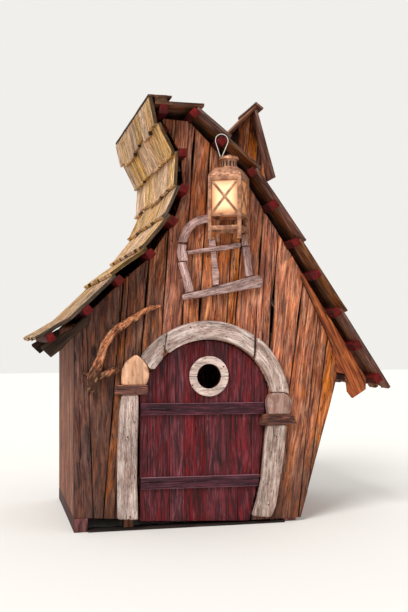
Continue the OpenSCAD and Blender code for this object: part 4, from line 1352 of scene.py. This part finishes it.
@dataclass
class RoofBoards(Assembly):
    """Lapped courses of rived boards, each splintered at its lower end."""

    # Each course's shade: partly the shakes' own tone, partly painted light, lighter on the swoop and neck,
    # where the sun falls, than at the eave and the top
    left: Sequence[tuple[str, float]] = (("eave", 0.5), ("swoop", 0.9), ("neck", 1.0), ("flare", 0.75),
                                         ("top", 0.5))
    right: Sequence[tuple[str, float]] = (("crown", 0.45), ("upper", 0.55), ("middle", 0.6), ("eave", 0.6))
    shade_spread: float = 0.25
    # Each board is this much wider on both sides than its solid, which leaves a hairline between two
    swelling: float = 0.0022

    def course(self, node: str, finish: Finish, worked: Worked, toward: Vector, shade: float) -> Piece:
        """Works the boards of a node, whose fibres run down the slope.

        Args:
            node: The CAD node.
            finish: Its surface.
            worked: How its boards are worked.
            toward: The side on which its face shows.
            shade: The shade that its boards' shades lie about.

        Returns:
            The finished course.
        """
        rng = Random(f"{node} {self.seed}")
        bench = Bench()
        for board in solids(node):
            middle = sum(vert.co.y for vert in board.verts) / len(board.verts)
            for vert in board.verts:
                vert.co.y += math.copysign(self.swelling, vert.co.y - middle)
            out = read_grain(board, toward, Y_AXIS).out
            down = out.cross(Y_AXIS)
            grain = read_grain(board, toward, down if down.z < 0 else -down)
            own = shade + rng.uniform(-self.shade_spread, self.shade_spread)
            bench.lay(worked.shape(board, grain, rng), (own, rng.random()))
        return bench.piece(f"{node}_{finish.slot.value}", finish, self.body, [node])

    def build(self) -> Pieces:
        """Builds every course on both slopes.

        Returns:
            A piece for each course.
        """
        return [self.course(f"roof_{side}_{name}", finish, worked, toward, shade)
                for side, courses, finish, worked, toward in (
                    ("left", self.left, LEFT_SHAKES, LEFT_SHAKE, Vector((-1, 0, 0.3))),
                    ("right", self.right, RIGHT_SHAKES, RIGHT_SHAKE, Vector((1, 0, 1))))
                for name, shade in courses]


@dataclass
class Door(Assembly):
    """The plank leaf with its ledges, the ring round its porthole, and the hinges behind it."""

    body: Body = Body.DOOR
    leaf_seams: Sequence[Seam] = upright(-0.287, -0.173, -0.055, 0.120, 0.320, 0.519)
    leaf_tones: Tones = ((0.55, 0.6), (0.4, 0.7), (0.6, 0.4), (0.45, 0.8), (0.35, 0.5), (0.5, 0.7),
                         (0.4, 0.6))

    def build(self) -> Pieces:
        """Builds the leaf and what is nailed on it, and the pins, which stay on the hut.

        Returns:
            A piece for each CAD node.
        """
        return [
            self.dress("door_leaf", DOOR_BOARDS, DOOR_BOARD, -Y_AXIS, Z_AXIS, self.leaf_seams,
                       tones=self.leaf_tones),
            self.dress("door_ledge_lower", DOOR_LEDGES, DOOR_BOARD, -Y_AXIS, tones=((0.75, 0.4),)),
            self.dress("door_ledge_upper", DOOR_LEDGES, DOOR_BOARD, -Y_AXIS, tones=((0.5, 0.5),)),
            self.dress("porthole_ring", RING_WOOD, WASHED_RING, -Y_AXIS, X_AXIS, tones=((0.5, 0.5),)),
            self.dress("hinge_straps", IRON, FORGED, Y_AXIS),
            Assembly(self.seed).dress("hinge_pins", IRON, FORGED, -Y_AXIS, Z_AXIS),
        ]


@dataclass
class ArchFrame(Assembly):
    """Driftwood nailed round the doorway."""

    centre_x: float = 0.140
    centre_z: float = 0.985
    mean_radius: float = 0.614

    def build(self) -> Pieces:
        """Builds arch pieces, posts, bars, teardrop and knob.

        Returns:
            A piece for each CAD node.
        """
        bend = BentGrain(Vector((self.centre_x, 0, self.centre_z)), -Y_AXIS, X_AXIS, self.mean_radius)
        return [
            self.dress(f"arch_{name}", finish, worked, -Y_AXIS, along, tones=(tone,), bend=round_it)
            for name, finish, worked, along, round_it, tone in (
                ("piece_left", DRIFTWOOD, WASHED_LOG, None, bend, (0.1, 0.6)),
                ("crown", DRIFTWOOD, WASHED_LOG, None, bend, (0.5, 0.4)),
                ("piece_right", DRIFTWOOD, WASHED_LOG, None, bend, (0.5, 0.7)),
                ("post_left", DRIFTWOOD, WASHED_LOG, None, None, (0.4, 0.5)),
                ("post_right", DRIFTWOOD, WASHED_LOG, None, None, (0.3, 0.7)),
                ("bar_left", DRIFTWOOD_BROWN, WASHED_STICK, None, None, (0.45, 0.3)),
                ("bar_right", DRIFTWOOD_BROWN, WASHED_STICK, None, None, (0.2, 0.6)),
                ("teardrop", DRIFTWOOD_TAN, WASHED_LOG, Z_AXIS, None, (0.5, 0.5)),
                ("knob_right", DRIFTWOOD_PINK, WASHED_LOG, Z_AXIS, None, (0.1, 0.5)))]


@dataclass
class BlindWindow(Assembly):
    """Driftwood nailed on the gable in the shape of a window."""

    bow_x: float = 0.149
    bow_z: float = 2.287
    bow_radius: float = 0.22

    def build(self) -> Pieces:
        """Builds the bow, the posts, the bars and the sill.

        Returns:
            A piece for each CAD node.
        """
        bow = BentGrain(Vector((self.bow_x, 0, self.bow_z)), -Y_AXIS, X_AXIS, self.bow_radius)
        return [
            self.dress(f"window_{name}", DRIFTWOOD_MAUVE, WASHED_STICK, -Y_AXIS, along, tones=tones,
                       bend=bend)
            for name, along, bend, tones in (
                ("arch", None, bow, ((0.8, 0.5),)), ("posts", None, None, ((0.6, 0.4), (0.7, 0.5))),
                ("bars", X_AXIS, None, ((0.5, 0.5),)), ("sill", None, None, ((0.25, 0.4),)))]


@dataclass
class Lantern(Assembly):
    """The copper lantern that hangs from a purlin on a loop of cord."""

    turn: float = math.radians(-31)
    width: float = 0.268
    corner_bar: float = 0.028
    leg: float = 0.072
    glass_low: float = 0.132
    glass_high: float = 0.391
    bar_width: float = 0.019
    bar_thickness: float = 0.004
    fold: float = 0.001
    neck_radius: float = 0.064
    neck_middle: float = 0.531
    slot_size: tuple[float, float, float] = (0.012, 0.003, 0.044)
    slot_count: int = 14

    def stand(self) -> Matrix:
        """Finds where the lantern hangs.

        Returns:
            The place of the middle of its body's underside, turned about its loop.
        """
        low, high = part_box("lantern_frame")
        place = Vector(((low.x + high.x) / 2, (low.y + high.y) / 2, low.z + self.leg))
        return Matrix.Translation(place) @ Matrix.Rotation(self.turn, 4, "Z")

    def neck_slots(self) -> Piece:
        """Builds the vent slots round the neck as black blocks: painted shade in the openings.

        Returns:
            The slots as one piece.
        """
        bench = Bench()
        for number in range(self.slot_count):
            place = (self.stand() @ Matrix.Rotation(2 * math.pi * number / self.slot_count, 4, "Z")
                     @ Matrix.Translation((0, -self.neck_radius, self.neck_middle))
                     @ Matrix.Diagonal((*self.slot_size, 1)))
            bench.lay(cuboid(place, self.fold))
        return bench.piece("lantern_neck_slots", VENT_SHADE, self.body)

    def crossed_bars(self) -> Piece:
        """Builds the crossed bars in front of each pane.

        Returns:
            The bars as one piece.
        """
        bench = Bench()
        inner = self.width / 2 - self.corner_bar
        rise = self.glass_high - self.glass_low
        slope = math.atan2(rise, 2 * inner)
        size = (math.hypot(2 * inner, rise), self.bar_thickness, self.bar_width, 1)
        face = self.width / 2 - self.corner_bar / 2 + self.bar_thickness
        for quarter in range(4):
            side = Matrix.Rotation(quarter * math.pi / 2, 4, "Z")
            for lean, depth in ((slope, 0.0), (-slope, self.bar_thickness)):
                place = (self.stand() @ side @ Matrix.Translation(
                    (0, -face - depth, (self.glass_low + self.glass_high) / 2))
                    @ Matrix.Rotation(-lean, 4, "Y") @ Matrix.Diagonal(size))
                bench.lay(cuboid(place, self.fold))
        return bench.piece("lantern_crossed_bars", COPPER, self.body)

    def build(self) -> Pieces:
        """Builds frame, panes, roof and loop, then bars and slots.

        Returns:
            A piece for each CAD node, the bars and the slots.
        """
        made = [self.dress(f"lantern_{name}", finish, SHEET, -Y_AXIS, Z_AXIS) for name, finish in (
            ("frame", COPPER), ("glass", PAINTED_GLOW_GLASS), ("roof", COPPER), ("loop", CORD))]
        return [*made, self.crossed_bars(), self.neck_slots()]


@dataclass
class Branch(Assembly):
    """The gnarled branch on the left boards."""

    run: Vector = field(default_factory=lambda: Vector((0.62, 0, 0.78)))
    knot_height: float = 0.26

    def __post_init__(self) -> None:
        """Finds the foot of the branch."""
        self.foot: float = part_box("branch")[0].z

    def knot(self, point: Vector) -> float:
        """Returns how near a point lies to the dark knot at the branch's foot."""
        return max(0.0, 1 - (point.z - self.foot) / self.knot_height)

    def build(self) -> Pieces:
        """Builds the branch with its stub.

        Returns:
            The one piece.
        """
        return [self.dress("branch", BRANCH_WOOD, GNARLED_BRANCH, -Y_AXIS, self.run,
                           tones=((0.85, 0.55),), grime_and_shade=self.knot)]


@dataclass
class Turret(Assembly):
    """The little gabled turret on the right slope."""

    wall_seams: Sequence[Seam] = (Seam(0.34, 0.1), Seam(0.43, 0.1), Seam(0.56, 0.07), Seam(0.60, 0.08))
    # Shades near the top of the range: painted light, which lifts the gable out of the shade under the
    # turret's roof
    wall_tones: Tones = ((0.9, 0.8), (1.0, 1.0), (0.5, 0.5), (1.0, 0.9), (0.9, 0.7))

    def build(self) -> Pieces:
        """Builds walls, roof boards and ridge cap.

        Returns:
            A piece for each CAD node.
        """
        walls = self.dress("turret_walls", WALL_BOARDS, TURRET_SLAB, -Y_AXIS, Z_AXIS, self.wall_seams,
                           tones=self.wall_tones)
        return [walls, *(
            self.dress(f"turret_{name}", RIGHT_SHAKES, TURRET_SLAB, toward, along)
            for name, toward, along in (
                ("roof_left", Vector((-1, 0, 1)), Vector((-0.695, 0, -0.719))),
                ("roof_right", X_AXIS, Vector((0.292, 0, -0.956))), ("cap", Z_AXIS, Y_AXIS)))]


@dataclass
class Nails(Assembly):
    """Forged nail heads that hold the ledges, the frame and the window."""

    head: float = 0.0065
    rise: float = 0.0035
    in_front: float = -1.5
    door: Sequence[tuple[float, float]] = (
        (-0.36, 0.365), (-0.23, 0.37), (-0.11, 0.36), (0.03, 0.37), (0.22, 0.365), (0.42, 0.37),
        (-0.36, 0.96), (-0.23, 0.965), (-0.11, 0.955), (0.03, 0.965), (0.22, 0.96), (0.42, 0.965),
        (0.27, 1.30), (0.01, 1.15))
    hut: Sequence[tuple[float, float]] = (
        (-0.51, 0.12), (-0.53, 0.75), (0.64, 0.16), (0.71, 0.72), (-0.24, 1.47), (-0.02, 1.62),
        (0.30, 1.62), (0.63, 1.38), (0.73, 1.08), (-0.47, 1.10), (-0.09, 2.02), (0.38, 2.10),
        (-0.16, 2.32), (0.40, 2.35), (0.14, 2.20), (-0.58, 1.16), (-0.49, 0.985), (0.69, 0.865))
    door_nodes: Sequence[str] = ("door_leaf", "door_ledge_lower", "door_ledge_upper", "porthole_ring")
    hut_nodes: Sequence[str] = (
        "front_wall_left", "front_wall_gable", "front_wall_right", "arch_post_left", "arch_post_right",
        "arch_piece_left", "arch_crown", "arch_piece_right", "arch_bar_left", "arch_bar_right",
        "arch_teardrop", "window_arch", "window_posts", "window_bars", "window_sill")

    def head_at(self, tree: BVHTree, x: float, z: float) -> Mesh | None:
        """Makes a nail head on the foremost face at a place.

        Args:
            tree: The faces that nails are driven into.
            x: How far right the nail is.
            z: How high it is.

        Returns:
            The head, or None where there is no face.
        """
        hit, normal, _, _ = tree.ray_cast(Vector((x, self.in_front, z)), Y_AXIS)
        if hit is None:
            return None
        nail = bmesh.new()
        bmesh.ops.create_uvsphere(nail, u_segments=10, v_segments=6, radius=self.head)
        turn = Z_AXIS.rotation_difference(normal if normal.y < 0 else -normal).to_matrix().to_4x4()
        bmesh.ops.transform(nail, verts=nail.verts, matrix=(
            Matrix.Translation(hit) @ turn @ Matrix.Diagonal((1, 1, self.rise / self.head, 1))))
        return nail

    def build(self) -> Pieces:
        """Builds the heads on the leaf and on the hut.

        Returns:
            A piece for each body.
        """
        made = []
        for body, places, nodes in ((Body.DOOR, self.door, self.door_nodes),
                                    (Body.HUT, self.hut, self.hut_nodes)):
            whole = bmesh.new()
            for node in nodes:
                whole.from_mesh(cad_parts[node].data)
            tree = BVHTree.FromBMesh(whole)
            whole.free()
            bench = Bench()
            for nail in (self.head_at(tree, x, z) for x, z in places):
                if nail:
                    bench.lay(nail)
            made.append(bench.piece(f"{body.value}_nails", IRON, body))
        return made


@dataclass
class Studio:
    """Plain pale floor, soft light and the camera at the photograph's angle.

    The camera's focal length and the horizon are in pixels of the photograph.
    """

    eye: Vector = field(default_factory=lambda: Vector((-1.594, -6.93, 1.55)))
    yaw: float = math.radians(13.805)
    sensor_mm: float = 36.0
    focal_length: float = 875.0
    view_reach: float = 200.0
    image_height: float = 612.0
    horizon_row: float = 336.0
    floor_size: float = 60.0
    floor_colour: str = "#e9e6e0"
    backdrop_colour: str = "#f1efeb"
    world_light: float = 0.85
    key_power: float = 2.15
    key_spread: float = math.radians(25)
    key_turn: tuple[float, float, float] = (math.radians(48), 0, math.radians(-45))

    def camera(self) -> None:
        """Sets the camera at the photograph's place and angle."""
        lens = bpy.data.cameras.new("view")
        lens.sensor_width = self.sensor_mm
        lens.lens = self.focal_length / self.image_height * self.sensor_mm
        lens.shift_y = (self.horizon_row - self.image_height / 2) / self.image_height
        lens.clip_end = self.view_reach
        eye = bpy.data.objects.new("view", lens)
        eye.location = self.eye
        eye.rotation_euler = (math.pi / 2, 0, -self.yaw)
        bpy.context.scene.collection.objects.link(eye)
        bpy.context.scene.camera = eye

    def floor(self) -> None:
        """Lays the floor, which isn't part of the hut."""
        sheet = bmesh.new()
        bmesh.ops.create_grid(sheet, x_segments=1, y_segments=1, size=self.floor_size / 2)
        mesh = bpy.data.meshes.new("floor")
        sheet.to_mesh(mesh)
        sheet.free()
        paint = bpy.data.materials.new("plain_floor")
        paint.use_nodes = True
        paint.node_tree.nodes.clear()
        shader = add_node(paint.node_tree, "BsdfPrincipled", sockets={
            "Base Color": linear(self.floor_colour), "Roughness": 0.9}).outputs[0]
        add_node(paint.node_tree, "OutputMaterial", sockets={"Surface": shader})
        mesh.materials.append(paint)
        ground = bpy.data.objects.new("floor", mesh)
        bpy.context.scene.collection.objects.link(ground)

    def light(self) -> None:
        """Hangs soft light all round, which the camera sees as a pale backdrop, and a key light."""
        world = bpy.data.worlds.new("studio")
        bpy.context.scene.world = world
        world.use_nodes = True
        tree = world.node_tree
        tree.nodes.clear()
        path = add_node(tree, "LightPath").outputs
        seen = path["Is Camera Ray"]
        for ray in ("Is Glossy Ray", "Is Transmission Ray"):
            seen = add_node(tree, "Math", {"operation": "MAXIMUM"}, {0: seen, 1: path[ray]}).outputs[0]
        lit, backdrop = (
            add_node(tree, "Background", sockets={"Color": linear(colour), "Strength": strength}).outputs[0]
            for colour, strength in (("#ffffff", self.world_light), (self.backdrop_colour, 1.0)))
        both = add_node(tree, "MixShader", sockets={0: seen, 1: lit, 2: backdrop}).outputs[0]
        add_node(tree, "OutputWorld", sockets={"Surface": both})
        sun = bpy.data.lights.new("key", "SUN")
        sun.energy, sun.angle = self.key_power, self.key_spread
        key = bpy.data.objects.new("key", sun)
        key.rotation_euler = self.key_turn
        bpy.context.scene.collection.objects.link(key)

    def build(self) -> None:
        """Sets up the whole studio."""
        bpy.context.scene.view_settings.view_transform = "Standard"
        self.camera()
        self.floor()
        self.light()


def main() -> None:
    """Builds the studio and then the hut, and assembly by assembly."""
    logging.basicConfig(level=logging.INFO, format="%(message)s", stream=sys.stdout)
    Studio().build()
    assemblies = (Lantern(), Groundwork(), Walls(), RoofFrame(), RoofBoards(), Door(), ArchFrame(),
                  BlindWindow(), Branch(), Turret(), Nails())
    for assembly in assemblies:
        made = assembly.build()
        LOG.info("%s: %d pieces", type(assembly).__name__, len(made))


if __name__ == "__main__":
    main()
